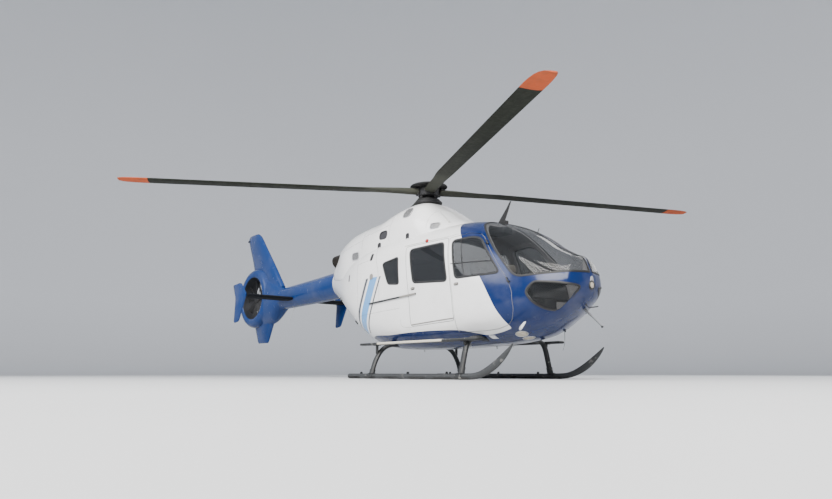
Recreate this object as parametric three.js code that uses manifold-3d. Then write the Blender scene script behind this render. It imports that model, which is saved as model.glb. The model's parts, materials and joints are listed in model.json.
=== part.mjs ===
// A light twin-engine rescue helicopter that stands on its skids: a hollow cabin with crew,
// sliding and clamshell doors, a four-blade main rotor and a tail fan inside a shroud.
// Lengths are millimetres. +X runs to the nose, +Y to port and +Z up.
// The pieces are placed from the mast axis (x = 0, y = 0) and the skids' soles (z = 0).
// The last lines move the whole aircraft so that the origin is its bottom centre.

import * as THREE from "three";
import { mergeVertices } from "three/addons/utils/BufferGeometryUtils.js";
import Module from "manifold-3d";

const wasm = await Module();
wasm.setup();

// Driving dimensions
const SEAT_GAP = 0.3;          // between pieces that touch
const DOOR_GAP = 6;            // round every door that opens
const WALL = 40;               // cabin wall and doors
const FLOOR = 720;             // top of the cabin floor
const CEILING = 2290;          // underside of the roof below the gearbox
const CABIN = { front: 3180, back: -2250 };
const BAY = { front: -580, back: -1700, half: 400, floor: 2160 };  // recess for the engines
const ENGINE = { front: -620, back: -1560, y: 215, half: 150, top: 2540 };
const GEARBOX = { front: 260, back: -220, half: 240, foot: 2385, top: 2800 };
const SIDE_START = 300;        // the side doors and windows lie further out than this
const WINDOW_CORNER = 70;
const GLASS_INSET = 3;
const GLASS = 8;
const CENTRE_POST = 30;        // half width of the windscreen's middle post
const FITTING_PROUD = 6;       // lamps, grilles and covers stand out of the skin by this
const FITTING_DEPTH = 24;      // and reach into it by this
const RIGHT = -1;
const LEFT = 1;
const SIDES = [["right", RIGHT], ["left", LEFT]];
const FAR = 2000;              // beyond the widest point of the body

const ROTOR_RADIUS = 5100;
const BLADE_CHORD = 289;
const BLADE_ROOT = 190;
const FIRST_BLADE = 63.1;      // degrees from +X
const BLADE_COUNT = 4;
const DROOP = 1.2;             // degrees that a parked blade hangs below level
const HUB_Z = 3225;
const HUB_HALF = 90;           // half the height of the hub
const MAST_RADIUS = 48;
const MAST_CLEARANCE = 5;      // round the turning mast
const MAST_BURIED = 20;        // how far the mast reaches below the gearbox's top
const MAST_HOLE = 150;
const HOUSING_RADIUS = 120;
const SWASHPLATE = { z: 3050, radius: 235, below: 60, above: 35 };
const PITCH_ROD = { foot: 165, top: 165, radius: 12, lead: 0.42 };

const FAN_X = -6290;
const FAN_Z = 1870;
const FAN_RADIUS = 488;
const DUCT_RADIUS = 505;
const FAN_BLADES = 10;
const FAN_HUB = { radius: 115, front: -70, back: 10 };
// Fan blade sections: distance from the axis, half chord and pitch in degrees
const FAN_BLADE = { middle: -30, halfThickness: 4, root: [90, 36, 40], tip: [FAN_RADIUS, 60, 25] };
const POD = { radius: 120, front: 45, back: 165, bossRadius: 50 };
const VANES = { count: 8, inner: 60, y: 95, width: 60, thickness: 14, turn: 0.2 };

const TRACK = 1000;            // half the distance between the skids
const SKID_RADIUS = 42;
const CROSSTUBE = { halfWidth: 45, halfHeight: 36 };
const STEP = { front: 2073, back: -676, y: 894, z: 558, halfWidth: 72, halfHeight: 24, bracket: 26 };

const BODY_END = -2600;
const BOOM_END = -5000;

// Body sections. Columns: station x, lowest z, highest z, half width, z of the widest line,
// squareness of the lower half, squareness of the upper half (2 is an ellipse).
const HULL = table([
  [3268, 1185, 1470, 145, 1300, 2.0, 2.0],
  [3195, 1045, 1630, 350, 1250, 2.0, 2.1],
  [3050, 925, 1700, 465, 1210, 2.1, 2.2],
  [2800, 765, 1840, 604, 1180, 2.2, 2.25],
  [2450, 600, 2080, 715, 1150, 2.4, 2.3],
  [2000, 530, 2280, 765, 1150, 2.7, 2.6],
  [1500, 500, 2400, 780, 1150, 3.0, 3.2],
  [800, 480, 2420, 780, 1150, 3.2, 4.0],
  [0, 480, 2400, 780, 1180, 3.2, 4.2],
  [-600, 520, 2380, 775, 1250, 3.0, 4.0],
  [-1100, 680, 2350, 740, 1400, 2.6, 3.4],
  [-1600, 980, 2320, 640, 1550, 2.4, 2.8],
  [-2100, 1300, 2260, 470, 1720, 2.2, 2.3],
  [BODY_END, 1560, 2160, 280, 1860, 2.0, 2.0],
]);

// Closes the outside of the nose in the same columns, in front of the first body section
const NOSE_TIP = table([[3290, 1240, 1370, 40, 1300, 2.0, 2.0]]);

// The cowling over gearbox and engines, in the same columns. Its lower half is inside the body.
const COWL = table([
  [1180, 2300, 2445, 300, 2330, 2.0, 2.2],
  [900, 2150, 2580, 500, 2250, 2.0, 2.4],
  [550, 2150, 2800, 570, 2250, 2.0, 2.6],
  [200, 2100, 2970, 600, 2230, 2.0, 2.8],
  [-300, 2050, 2950, 615, 2200, 2.0, 2.8],
  [-800, 1950, 2810, 620, 2150, 2.0, 3.0],
  [-1300, 1850, 2765, 610, 2050, 2.0, 3.0],
  [-1800, 1700, 2700, 570, 1850, 2.0, 2.9],
  [-2300, 1750, 2560, 405, 1900, 2.0, 2.6],
  [-2560, 1800, 2400, 280, 1930, 2.0, 2.2],
]);

// The boom in the same columns
const BOOM = table([
  [BODY_END - SEAT_GAP, 1580, 2130, 265, 1855, 2.0, 2.0],
  [-3600, 1550, 2070, 245, 1810, 2.0, 2.0],
  [BOOM_END, 1520, 2000, 215, 1760, 2.0, 2.0],
]);

// The fairing that widens from the boom's end into the fan shroud
const TAIL_FAIRING = table([
  [BOOM_END - SEAT_GAP, 1520, 2000, 215, 1760, 2.0, 2.0],
  [-5400, 1240, 2200, 205, 1740, 2.0, 2.0],
  [-5850, 1180, 2400, 180, 1800, 2.0, 2.0],
]);

// Outlines are [x, z] corners seen from the side.
const WINDSCREEN = [[1700, 2700], [1700, 2330], [1800, 2225], [1967, 2035], [2136, 1830],
  [2480, 1440], [2580, 1385], [3227, 1425], [3500, 1445], [3500, 2700]];
const CHIN_WINDOW = [[2680, 1155], [2705, 1220], [2790, 1300], [2890, 1292], [3070, 1274],
  [3245, 1240], [3240, 1190], [3166, 1080], [3057, 990], [2945, 908], [2852, 935], [2751, 1030]];
const CHIN_WINDOW_INNER = 170;
const CREW_DOOR = [[1430, 680], [1430, 880], [1405, 1180], [1258, 2120], [1640, 2145], [1820, 2110],
  [1905, 2050], [1985, 1940], [2430, 1350], [2490, 1180], [2490, 950], [2430, 820], [2330, 745],
  [2150, 700], [1900, 680]];
const CREW_WINDOW = [[1455, 1470], [1330, 2060], [1700, 2075], [1862, 2029], [2270, 1490],
  [2240, 1465]];
const SLIDING_DOOR = [[430, 810], [405, 1180], [255, 2115], [1238, 2120], [1385, 1180],
  [1410, 850]];
const SLIDING_WINDOW = [[493, 1500], [365, 2050], [1150, 2060], [1279, 1447]];
const REAR_WINDOW = [[-155, 1544], [-332, 1911], [74, 1970], [131, 1515]];
const CLAMSHELL = [[-1180, 400], [-1180, 706], [-2090, 1585], [-2230, 1585], [-2470, 1405],
  [-2470, 400]];

// Where the door hinges are, as [x, z] of the two knuckles on each axis
const CREW_HINGES = [[2438, 1343], [1995, 1941]];
const CLAMSHELL_HINGES = [[-1500, 1018], [-1960, 1462]];
const HINGE_PROUD = 24;        // from the skin to the hinge axis
const KNUCKLE_RADIUS = 11;
const KNUCKLE_LENGTH = 50;
const LUG_LENGTH = 18;
const HINGE_DEPTH = 20;        // how far the arms reach under the skin
const CREW_ARM = 34;           // from a hinge axis to where its arm enters the door
const CLAMSHELL_ARM = 56;
const FRAME_ARM = 22;

// Paint and materials
const white = new THREE.MeshStandardMaterial({ color: 0xe9eaec, roughness: 0.3, metalness: 0.0 });
const navy = new THREE.MeshStandardMaterial({ color: 0x14265a, roughness: 0.25, metalness: 0.0 });
const blue = new THREE.MeshStandardMaterial({ color: 0x2c4d8c, roughness: 0.35, metalness: 0.0 });
const black = new THREE.MeshStandardMaterial({ color: 0x17181a, roughness: 0.6, metalness: 0.0 });
const bladeGrey = new THREE.MeshStandardMaterial({ color: 0x2e3231, roughness: 0.55, metalness: 0.0 });
const glass = new THREE.MeshStandardMaterial({ color: 0x4c5357, roughness: 0.08, metalness: 0.0 });
const metal = new THREE.MeshStandardMaterial({ color: 0x8a8c8e, roughness: 0.4, metalness: 1.0 });
const cloth = new THREE.MeshStandardMaterial({ color: 0xa59d8c, roughness: 0.9, metalness: 0.0 });

const aircraft = new THREE.Group();

// Names the columns of a section table
function table(rows) {
  return rows.map(([x, belly, top, half, wide, low, high]) => ({ x, belly, top, half, wide, low, high }));
}

// Sections between the rows of a table, on a smooth curve through them
function smoothed(rows, steps) {
  const columns = Object.keys(rows[0]);
  const result = [];
  for (let i = 0; i + 1 < rows.length; i++) {
    for (let s = 0; s < steps; s++) {
      const row = {};
      for (const name of columns) {
        const b = rows[i][name];
        const c = rows[i + 1][name];
        const a = i > 0 ? rows[i - 1][name] : 2 * b - c;
        const d = i + 2 < rows.length ? rows[i + 2][name] : 2 * c - b;
        const u = s / steps;
        row[name] = 0.5 * (2 * b + (c - a) * u + (2 * a - 5 * b + 4 * c - d) * u * u
          + (3 * b - a - 3 * c + d) * u * u * u);
      }
      result.push(row);
    }
  }
  result.push(rows[rows.length - 1]);
  return result;
}

// One section as a ring of points, pulled in by an inset
function sectionRing(row, inset, sides) {
  const ring = [];
  for (let k = 0; k < sides; k++) {
    const angle = (2 * Math.PI * k) / sides;
    const across = Math.cos(angle);
    const up = Math.sin(angle);
    const power = 2 / (up > 0 ? row.high : row.low);
    const height = (up > 0 ? row.top - row.wide : row.wide - row.belly) - inset;
    ring.push(new THREE.Vector3(
      row.x,
      (row.half - inset) * Math.sign(across) * Math.abs(across) ** power,
      row.wide + height * Math.sign(up) * Math.abs(up) ** power,
    ));
  }
  return ring;
}

// Half width of the body at a station and height
function hullHalfWidth(x, z) {
  const i = Math.max(1, HULL.findIndex((row) => row.x <= x));
  const a = HULL[i - 1];
  const b = HULL[i];
  const t = (x - a.x) / (b.x - a.x);
  const mix = (name) => a[name] + (b[name] - a[name]) * t;
  const wide = mix("wide");
  const above = z > wide;
  const share = above ? (z - wide) / (mix("top") - wide) : (wide - z) / (wide - mix("belly"));
  const power = above ? mix("high") : mix("low");
  return mix("half") * (1 - share ** power) ** (1 / power);
}

// A closed geometry through rings with equal counts, closed by a fan at each end
function loft(rings) {
  const count = rings[0].length;
  const points = rings.flat();
  const index = [];
  for (let r = 0; r + 1 < rings.length; r++) {
    for (let k = 0; k < count; k++) {
      const a = r * count + k;
      const b = r * count + ((k + 1) % count);
      index.push(a, b, b + count, a, b + count, a + count);
    }
  }
  for (const [ring, start, order] of [[rings[0], 0, 1], [rings.at(-1), points.length - count, -1]]) {
    const middle = ring.reduce((sum, p) => sum.add(p), new THREE.Vector3()).divideScalar(count);
    const centre = points.push(middle) - 1;
    for (let k = 0; k < count; k++) {
      const a = start + k;
      const b = start + ((k + 1) % count);
      index.push(...(order > 0 ? [centre, b, a] : [centre, a, b]));
    }
  }
  const geometry = new THREE.BufferGeometry().setFromPoints(points);
  geometry.setIndex(index);
  return geometry;
}

function sectionLoft(rows, inset, sides, steps) {
  return solid(loft(smoothed(rows, steps).map((row) => sectionRing(row, inset, sides))));
}

// A bar swept along points: across is the normal of the plane that the path lies in,
// and each size is [half width along that normal, half depth in the plane].
function bar(points, across, sizes, sides = 12) {
  const rings = points.map((p, i) => {
    const from = points[Math.max(0, i - 1)];
    const to = points[Math.min(points.length - 1, i + 1)];
    const along = new THREE.Vector3().subVectors(to, from).normalize();
    const other = new THREE.Vector3().crossVectors(along, across).normalize();
    const [w, d] = Array.isArray(sizes[0]) ? sizes[i] : sizes;
    const ring = [];
    for (let k = 0; k < sides; k++) {
      const angle = (2 * Math.PI * (k + 0.5)) / sides;
      ring.push(p.clone().addScaledVector(across, w * Math.cos(angle))
        .addScaledVector(other, d * Math.sin(angle)));
    }
    return ring;
  });
  return solid(loft(rings));
}

function rod(from, to, radius, sides = 12) {
  const length = from.distanceTo(to);
  const geometry = new THREE.CylinderGeometry(radius, radius, length, sides);
  const turn = new THREE.Quaternion().setFromUnitVectors(
    new THREE.Vector3(0, 1, 0), new THREE.Vector3().subVectors(to, from).normalize());
  geometry.applyQuaternion(turn);
  geometry.translate((from.x + to.x) / 2, (from.y + to.y) / 2, (from.z + to.z) / 2);
  return solid(geometry);
}

function box(x0, x1, y0, y1, z0, z1) {
  const geometry = new THREE.BoxGeometry(x1 - x0, y1 - y0, z1 - z0);
  geometry.translate((x0 + x1) / 2, (y0 + y1) / 2, (z0 + z1) / 2);
  return solid(geometry);
}

// A box as wide as the whole aircraft
function slab(x0, x1, z0 = 0, z1 = 3500) {
  return box(x0, x1, -FAR, FAR, z0, z1);
}

// A prism over an [x, z] outline, on one side of the middle plane
function sidePrism(outline, side, near = 0, far = FAR) {
  const shape = new THREE.Shape(outline.map(([x, z]) => new THREE.Vector2(x, z)));
  const geometry = new THREE.ExtrudeGeometry(shape, { depth: far - near, bevelEnabled: false });
  geometry.rotateX(Math.PI / 2);
  geometry.translate(0, side > 0 ? far : -near, 0);
  return solid(geometry);
}

// Moves every edge of an outline inwards, or outwards with a negative distance
function shrunk(outline, distance) {
  const area = outline.reduce((sum, [x, z], i) => {
    const [u, v] = outline[(i + 1) % outline.length];
    return sum + x * v - u * z;
  }, 0);
  const turn = Math.sign(area) * distance;
  const edges = outline.map(([x, z], i) => {
    const [u, v] = outline[(i + 1) % outline.length];
    const length = Math.hypot(u - x, v - z);
    const normal = [-(v - z) / length, (u - x) / length];
    return { normal, offset: normal[0] * x + normal[1] * z + turn };
  });
  return edges.map((edge, i) => {
    const before = edges[(i + edges.length - 1) % edges.length];
    const [a, b] = before.normal;
    const [c, d] = edge.normal;
    const det = a * d - b * c;
    return [(before.offset * d - b * edge.offset) / det, (a * edge.offset - before.offset * c) / det];
  });
}

// Rounds the corners of an outline with short arcs
function rounded(outline, radius, steps = 3) {
  return outline.flatMap(([x, z], i) => {
    const toward = (j) => {
      const [u, v] = outline[(j + outline.length) % outline.length];
      const length = Math.hypot(u - x, v - z);
      const reach = Math.min(radius, 0.45 * length) / length;
      return [x + (u - x) * reach, z + (v - z) * reach];
    };
    const [p, q] = [toward(i - 1), toward(i + 1)];
    return Array.from({ length: steps + 1 }, (_, k) => {
      const t = k / steps;
      const mix = (a, b, c) => (1 - t) * (1 - t) * a + 2 * t * (1 - t) * b + t * t * c;
      return [mix(p[0], x, q[0]), mix(p[1], z, q[1])];
    });
  });
}

// An upright oval across the aircraft, from its centre and half sizes
function oval(x, y, z, halfWidth, halfHeight) {
  return Array.from({ length: 20 }, (_, i) => {
    const turn = (2 * Math.PI * (i + 0.5)) / 20;
    return vector(x, y + halfWidth * Math.cos(turn), z + halfHeight * Math.sin(turn));
  });
}

// The outline of a rectangle from its centre and half sizes, with rounded corners
function rectangle([x, z, halfX, halfZ], corner) {
  return rounded([[x - halfX, z - halfZ], [x + halfX, z - halfZ], [x + halfX, z + halfZ],
    [x - halfX, z + halfZ]], corner);
}

// A solid from a closed geometry, turned so that its faces point out
function solid(geometry) {
  geometry.deleteAttribute("normal");
  geometry.deleteAttribute("uv");
  const merged = mergeVertices(geometry, 1e-3);
  const triangles = new Uint32Array(merged.index.array);
  const corner = (i) => new THREE.Vector3().fromBufferAttribute(merged.attributes.position, triangles[i]);
  let volume = 0;
  for (let i = 0; i < triangles.length; i += 3) {
    volume += corner(i).dot(corner(i + 1).cross(corner(i + 2)));
  }
  if (volume < 0) triangles.reverse();
  return new wasm.Manifold(new wasm.Mesh({
    numProp: 3,
    vertProperties: new Float32Array(merged.attributes.position.array),
    triVerts: triangles,
  }));
}

function add(name, body, material) {
  const { vertProperties, triVerts } = body.getMesh();
  const geometry = new THREE.BufferGeometry();
  geometry.setAttribute("position", new THREE.BufferAttribute(new Float32Array(vertProperties), 3));
  geometry.setIndex(new THREE.BufferAttribute(new Uint32Array(triVerts), 1));
  geometry.computeVertexNormals();
  const mesh = new THREE.Mesh(geometry, material);
  mesh.name = name;
  aircraft.add(mesh);
}

const vector = (x, y, z) => new THREE.Vector3(x, y, z);
const X = vector(1, 0, 0);
const Y = vector(0, 1, 0);

// The point of the skin at a station and height, with the normal that points out of it
function skinAt([x, z], side) {
  const step = 5;
  const slopeX = (hullHalfWidth(x + step, z) - hullHalfWidth(x - step, z)) / (2 * step);
  const slopeZ = (hullHalfWidth(x, z + step) - hullHalfWidth(x, z - step)) / (2 * step);
  const point = vector(x, side * hullHalfWidth(x, z), z);
  return { point, normal: vector(-slopeX, side, -slopeZ).normalize() };
}

// A hinge whose axis runs just outside the skin: a knuckle at each point for the panel, with an
// arm into it, and a lug at each end of every knuckle for the frame, with an arm into that.
function hinge(points, side, panelArm) {
  const skins = points.map((point) => skinAt(point, side));
  const ends = skins.map(({ point, normal }) => point.clone().addScaledVector(normal, HINGE_PROUD));
  const axis = new THREE.Vector3().subVectors(ends[1], ends[0]).normalize();
  const along = (p, distance) => p.clone().addScaledVector(axis, distance);
  const panel = [];
  const frame = [];
  ends.forEach((end, i) => {
    const inward = skins[i].normal.clone().negate();
    const toPanel = new THREE.Vector3().crossVectors(inward, axis).multiplyScalar(side).normalize();
    const reach = (p, sideways) => p.clone().addScaledVector(toPanel, sideways)
      .addScaledVector(inward, HINGE_PROUD + HINGE_DEPTH);
    const half = KNUCKLE_LENGTH / 2;
    panel.push(rod(along(end, -half), along(end, half), KNUCKLE_RADIUS));
    panel.push(rod(end, reach(end, panelArm), KNUCKLE_RADIUS * 0.8));
    for (const way of [-1, 1]) {
      const inner = along(end, way * (half + 2 * SEAT_GAP));
      const outer = along(end, way * (half + LUG_LENGTH));
      const middle = along(end, way * (half + LUG_LENGTH / 2));
      frame.push(rod(inner, outer, KNUCKLE_RADIUS));
      frame.push(rod(middle, reach(middle, -FRAME_ARM), LUG_LENGTH * 0.4));
    }
  });
  return { panel, frame, ends };
}

const join = (parts) => parts.reduce((sum, part) => sum.add(part));

// Crosstubes: [y, z] from the middle of the belly to the skid
const CROSSTUBES = [
  ["front", 1766, [[0, 585], [640, 585], [740, 575], [810, 545], [855, 490], [890, 400], [920, 290],
    [975, 80]]],
  ["rear", -277, [[0, 560], [560, 560], [690, 530], [790, 470], [855, 400], [905, 320], [950, 230],
    [995, 80]]],
];

function crosstube(station, half, extra) {
  const points = [];
  for (const [y, z] of half.slice().reverse()) points.push(vector(station, -y, z));
  for (const [y, z] of half.slice(1)) points.push(vector(station, y, z));
  return bar(points, X, [CROSSTUBE.halfWidth + extra, CROSSTUBE.halfHeight + extra]);
}

// Skids: [x, z, half height, half width] along the tube and up its tapered toe
const SKID_PATH = [...[-896, 600, 1960].map((x) => [x, SKID_RADIUS, SKID_RADIUS, SKID_RADIUS]),
  [2130, 62, 44, 40], [2290, 120, 50, 34], [2450, 205, 54, 28], [2600, 318, 42, 22],
  [2700, 410, 24, 15], [2750, 465, 8, 8]];

function skid(side, extra) {
  const points = SKID_PATH.map(([x, z]) => vector(x, side * TRACK, z));
  const sizes = SKID_PATH.map(([, , height, width]) => [width + extra, height + extra]);
  return bar(points, Y, sizes);
}

const OUTER_SIDES = 32;
const INNER_SIDES = 24;
const hullAt = (inset) => sectionLoft([...NOSE_TIP, ...HULL], inset, OUTER_SIDES, 2);
const innerAt = (inset, rows = HULL) => sectionLoft(rows, inset, INNER_SIDES, 1);
const hullOuter = hullAt(0);
const bay = box(BAY.back, BAY.front, -BAY.half, BAY.half, BAY.floor, CEILING + 300);
const underBay = slab(CABIN.back, BAY.front + WALL, BAY.floor - WALL, CEILING);
const room = slab(CABIN.back, CABIN.front, FLOOR, CEILING).subtract(underBay);
const cavity = innerAt(WALL, HULL.slice(1, -1)).intersect(room);
const belowSkin = innerAt(WALL);
const glassSkin = hullAt(GLASS_INSET).subtract(hullAt(GLASS_INSET + GLASS));
const fittingSkin = hullAt(-FITTING_PROUD).subtract(innerAt(FITTING_DEPTH));

// Doors, windows and the cabin shell that they are cut from
const gearboxSeat = box(GEARBOX.back - SEAT_GAP, GEARBOX.front + SEAT_GAP, -GEARBOX.half - SEAT_GAP,
  GEARBOX.half + SEAT_GAP, GEARBOX.foot, GEARBOX.top);
let shell = hullOuter.subtract(cavity).subtract(bay).subtract(gearboxSeat);
const fixedGlass = [
  ["windscreen", WINDSCREEN, CENTRE_POST, 60],
  ["chin_window", CHIN_WINDOW, CHIN_WINDOW_INNER, 50],
  ["rear_side_window", REAR_WINDOW, SIDE_START, 50],
];
for (const [name, outline, near, radius] of fixedGlass) {
  for (const [word, side] of SIDES) {
    const corners = rounded(outline, radius);
    shell = shell.subtract(sidePrism(corners, side, near));
    const pane = sidePrism(shrunk(corners, SEAT_GAP), side, near + SEAT_GAP);
    add(`${name}_${word}`, glassSkin.intersect(pane), glass);
  }
}

// A door as a piece of the wall, and the cut in the shell that it lies in
function doorPanel(outline, side, near, gap) {
  const panel = hullOuter.intersect(sidePrism(shrunk(outline, gap / 2), side, near));
  return panel.subtract(belowSkin);
}

function doorCut(outline, side, near, gap) {
  return sidePrism(shrunk(outline, -gap / 2), side, near).subtract(innerAt(WALL + gap));
}

function glazed(panel, window, side, name) {
  const corners = rounded(window, WINDOW_CORNER);
  add(name, glassSkin.intersect(sidePrism(shrunk(corners, SEAT_GAP), side, SIDE_START)), glass);
  return panel.subtract(sidePrism(corners, side, SIDE_START));
}

// Door handles as [x, z] centres on the crew door and the sliding door
const HANDLE = { crew: [1492, 1386], sliding: [1290, 1330], halfX: 60, halfZ: 13, proud: 16, buried: 10 };
const handleSkin = hullAt(-HANDLE.proud).subtract(hullAt(HANDLE.buried));
function handle([x, z], side) {
  return handleSkin.intersect(sidePrism(rectangle([x, z, HANDLE.halfX, HANDLE.halfZ], HANDLE.halfZ), side));
}

const hingeFrames = [];
for (const [word, side] of SIDES) {
  const crewHinge = hinge(CREW_HINGES, side, CREW_ARM);
  const crewPanel = doorPanel(CREW_DOOR, side, SIDE_START, DOOR_GAP);
  const crew = glazed(crewPanel, CREW_WINDOW, side, `crew_door_window_${word}`);
  add(`crew_door_${word}`, join([crew, handle(HANDLE.crew, side), ...crewHinge.panel]), white);
  const slidingPanel = doorPanel(SLIDING_DOOR, side, SIDE_START, SEAT_GAP);
  const sliding = glazed(slidingPanel, SLIDING_WINDOW, side, `sliding_door_window_${word}`);
  add(`sliding_door_${word}`, sliding.add(handle(HANDLE.sliding, side)), white);
  const rearHinge = hinge(CLAMSHELL_HINGES, side, CLAMSHELL_ARM);
  const clamshell = doorPanel(CLAMSHELL, side, DOOR_GAP / 2, DOOR_GAP);
  add(`clamshell_door_${word}`, join([clamshell, ...rearHinge.panel]), white);
  shell = shell.subtract(doorCut(CREW_DOOR, side, SIDE_START, DOOR_GAP));
  shell = shell.subtract(doorCut(SLIDING_DOOR, side, SIDE_START, SEAT_GAP));
  shell = shell.subtract(doorCut(CLAMSHELL, side, -DOOR_GAP, DOOR_GAP));
  hingeFrames.push(...crewHinge.frame, ...rearHinge.frame);
}
for (const [, station, half] of CROSSTUBES) {
  shell = shell.subtract(crosstube(station, half, SEAT_GAP));
}

// Round lamps that follow the skin, as [name, centre, radius, direction that they face]
const LAMPS = [
  ["landing_lamp_outer", [2365, -369, 629], 90, [0.45, -0.35, -1]],
  ["landing_lamp_inner", [2327, -179, 583], 90, [0.4, -0.15, -1]],
];
for (const [name, centre, radius, facing] of LAMPS) {
  const middle = vector(...centre);
  const out = vector(...facing).normalize();
  const reach = 150;
  const tube = (r) => rod(middle.clone().addScaledVector(out, -reach),
    middle.clone().addScaledVector(out, reach), r, 24);
  shell = shell.subtract(tube(radius + SEAT_GAP).subtract(innerAt(FITTING_DEPTH + SEAT_GAP)));
  add(name, fittingSkin.intersect(tube(radius)), glass);
}

// The lamp at the tip of the nose, in its ring
const NOSE_LAMP = { z: 1250, radius: 62, back: 3215, front: 3298, lensRadius: 42, lensDepth: 14 };
function noseRod(from, radius) {
  return rod(vector(from, 0, NOSE_LAMP.z), vector(NOSE_LAMP.front, 0, NOSE_LAMP.z), radius, 24);
}
shell = shell.subtract(noseRod(NOSE_LAMP.back - SEAT_GAP, NOSE_LAMP.radius + SEAT_GAP));
add("nose_lamp", noseRod(NOSE_LAMP.back, NOSE_LAMP.radius)
  .subtract(noseRod(NOSE_LAMP.front - NOSE_LAMP.lensDepth, NOSE_LAMP.lensRadius)), black);

// The middle rail of each sliding door runs back from the door along the wall
const RAIL = { back: [-661, 1253], front: [569, 1319], halfHeight: 12, proud: 20 };
const railSkin = hullAt(-RAIL.proud).subtract(hullAt(-SEAT_GAP));
for (const [word, side] of SIDES) {
  const { back, front, halfHeight } = RAIL;
  const outline = [[back[0], back[1] - halfHeight], [front[0], front[1] - halfHeight],
    [front[0], front[1] + halfHeight], [back[0], back[1] + halfHeight]];
  add(`door_rail_${word}`, railSkin.intersect(sidePrism(outline, side, SIDE_START)), black);
}

// Covers and lamps fused to the shell, as [x, z] centres with half sizes
const COVERS = [[-635, 1719, 46, 46], [-1443, 1785, 12, 60], [-707, 2077, 34, 62]];
const coverSkin = hullAt(-FITTING_PROUD).subtract(hullAt(FITTING_PROUD));
for (const cover of COVERS) {
  const outline = rectangle(cover, cover[2]);
  for (const [, side] of SIDES) shell = shell.add(coverSkin.intersect(sidePrism(outline, side)));
}
add("cabin_shell", join([shell, ...hingeFrames]), white);

// Cowlings, split behind the mast, over the gearbox and the two engines
const COWL_SPLIT = -350;
const COWL_WALL = 28;
const EXHAUST = { radius: 120, wall: 8, from: [-1900, 260, 2310], to: [-2370, 345, 2232] };
const onRoof = hullAt(-SEAT_GAP);
const cowl = sectionLoft(COWL, 0, OUTER_SIDES, 2).subtract(innerAt(COWL_WALL, COWL)).subtract(onRoof);
const mastHole = rod(vector(0, 0, GEARBOX.foot), vector(0, 0, HUB_Z), MAST_HOLE, 24);
const cowlFront = cowl.intersect(slab(COWL_SPLIT + SEAT_GAP, CABIN.front));
let cowlRear = cowl.intersect(slab(BODY_END, COWL_SPLIT));
for (const [word, side] of SIDES) {
  const [from, to] = [EXHAUST.from, EXHAUST.to].map(([x, y, z]) => vector(x, side * y, z));
  const beyond = to.clone().lerp(from, -0.4);
  const bore = rod(from.clone().lerp(to, 0.3), beyond, EXHAUST.radius - EXHAUST.wall, 20);
  cowlRear = cowlRear.subtract(rod(from, beyond, EXHAUST.radius + 2 * SEAT_GAP, 20));
  add(`exhaust_${word}`, rod(from, to, EXHAUST.radius, 20).subtract(onRoof).subtract(bore), metal);
  const y = side * ENGINE.y;
  add(`engine_${word}`, box(ENGINE.back, ENGINE.front, y - ENGINE.half, y + ENGINE.half,
    BAY.floor + SEAT_GAP, ENGINE.top), metal);
}

// Intake grilles that stand out of the cowling, and dark openings sunk into it
const INTAKES = [[48, 2765, 104, 78], [735, 2425, 90, 44], [-1340, 2190, 112, 64]];
const OPENINGS = [[-520, 2455, 110, 74], [-612, 2262, 42, 66], [140, 2310, 36, 72]];
const OPENING_DEPTH = 14;
const cowlAt = (inset) => sectionLoft(COWL, inset, OUTER_SIDES, 2);
const grilleSkin = cowlAt(-FITTING_PROUD).subtract(cowlAt(FITTING_PROUD));
const openingSkin = cowlAt(-FITTING_PROUD).subtract(cowlAt(OPENING_DEPTH));
function onCowl(place, side, skin) {
  return skin.intersect(sidePrism(rectangle(place, place[3]), side)).subtract(onRoof);
}
let frontPanel = cowlFront.subtract(mastHole);
let rearPanel = cowlRear;
for (const [, side] of SIDES) {
  for (const intake of INTAKES) {
    if (intake[0] > COWL_SPLIT) frontPanel = frontPanel.add(onCowl(intake, side, grilleSkin));
    else rearPanel = rearPanel.add(onCowl(intake, side, grilleSkin));
  }
  for (const opening of OPENINGS) {
    if (opening[0] > COWL_SPLIT) frontPanel = frontPanel.subtract(onCowl(opening, side, openingSkin));
    else rearPanel = rearPanel.subtract(onCowl(opening, side, openingSkin));
  }
}
add("mast_cowling", frontPanel, white);
add("engine_cowling", rearPanel, white);

// The cable cutter on the roof: a swept blade on a foot
const CUTTER = { halfWidth: 8, footHalf: 26, footBack: 1500, footFront: 1830, footTop: 2392, bottom: 2200 };
const CUTTER_BLADE = [[1640, CUTTER.bottom], [1640, 2400], [1700, 2470], [1800, 2580], [1885, 2690],
  [1915, 2690], [1850, 2560], [1790, 2440], [1770, CUTTER.bottom]];
const cutterBlade = sidePrism(CUTTER_BLADE, LEFT, -CUTTER.halfWidth, CUTTER.halfWidth);
const cutterFoot = box(CUTTER.footBack, CUTTER.footFront, -CUTTER.footHalf, CUTTER.footHalf,
  CUTTER.bottom, CUTTER.footTop);
add("cable_cutter", cutterBlade.add(cutterFoot).subtract(hullAt(-SEAT_GAP)), black);

// The air probe below the nose, with its ball at the tip
const PROBE = { root: [3050, 110, 975], tip: [3351, 110, 686], thick: 16, radius: 10, ball: 16 };
const [probeRoot, probeTip] = [PROBE.root, PROBE.tip].map((p) => vector(...p));
const probe = join([
  rod(probeRoot, probeTip, PROBE.radius, 10),
  rod(probeRoot, probeRoot.clone().lerp(probeTip, 0.4), PROBE.thick, 10),
  rod(probeRoot.clone().lerp(probeTip, 0.94), probeTip, PROBE.ball, 10),
]);
add("air_probe", probe.subtract(hullAt(-SEAT_GAP)), metal);

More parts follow.
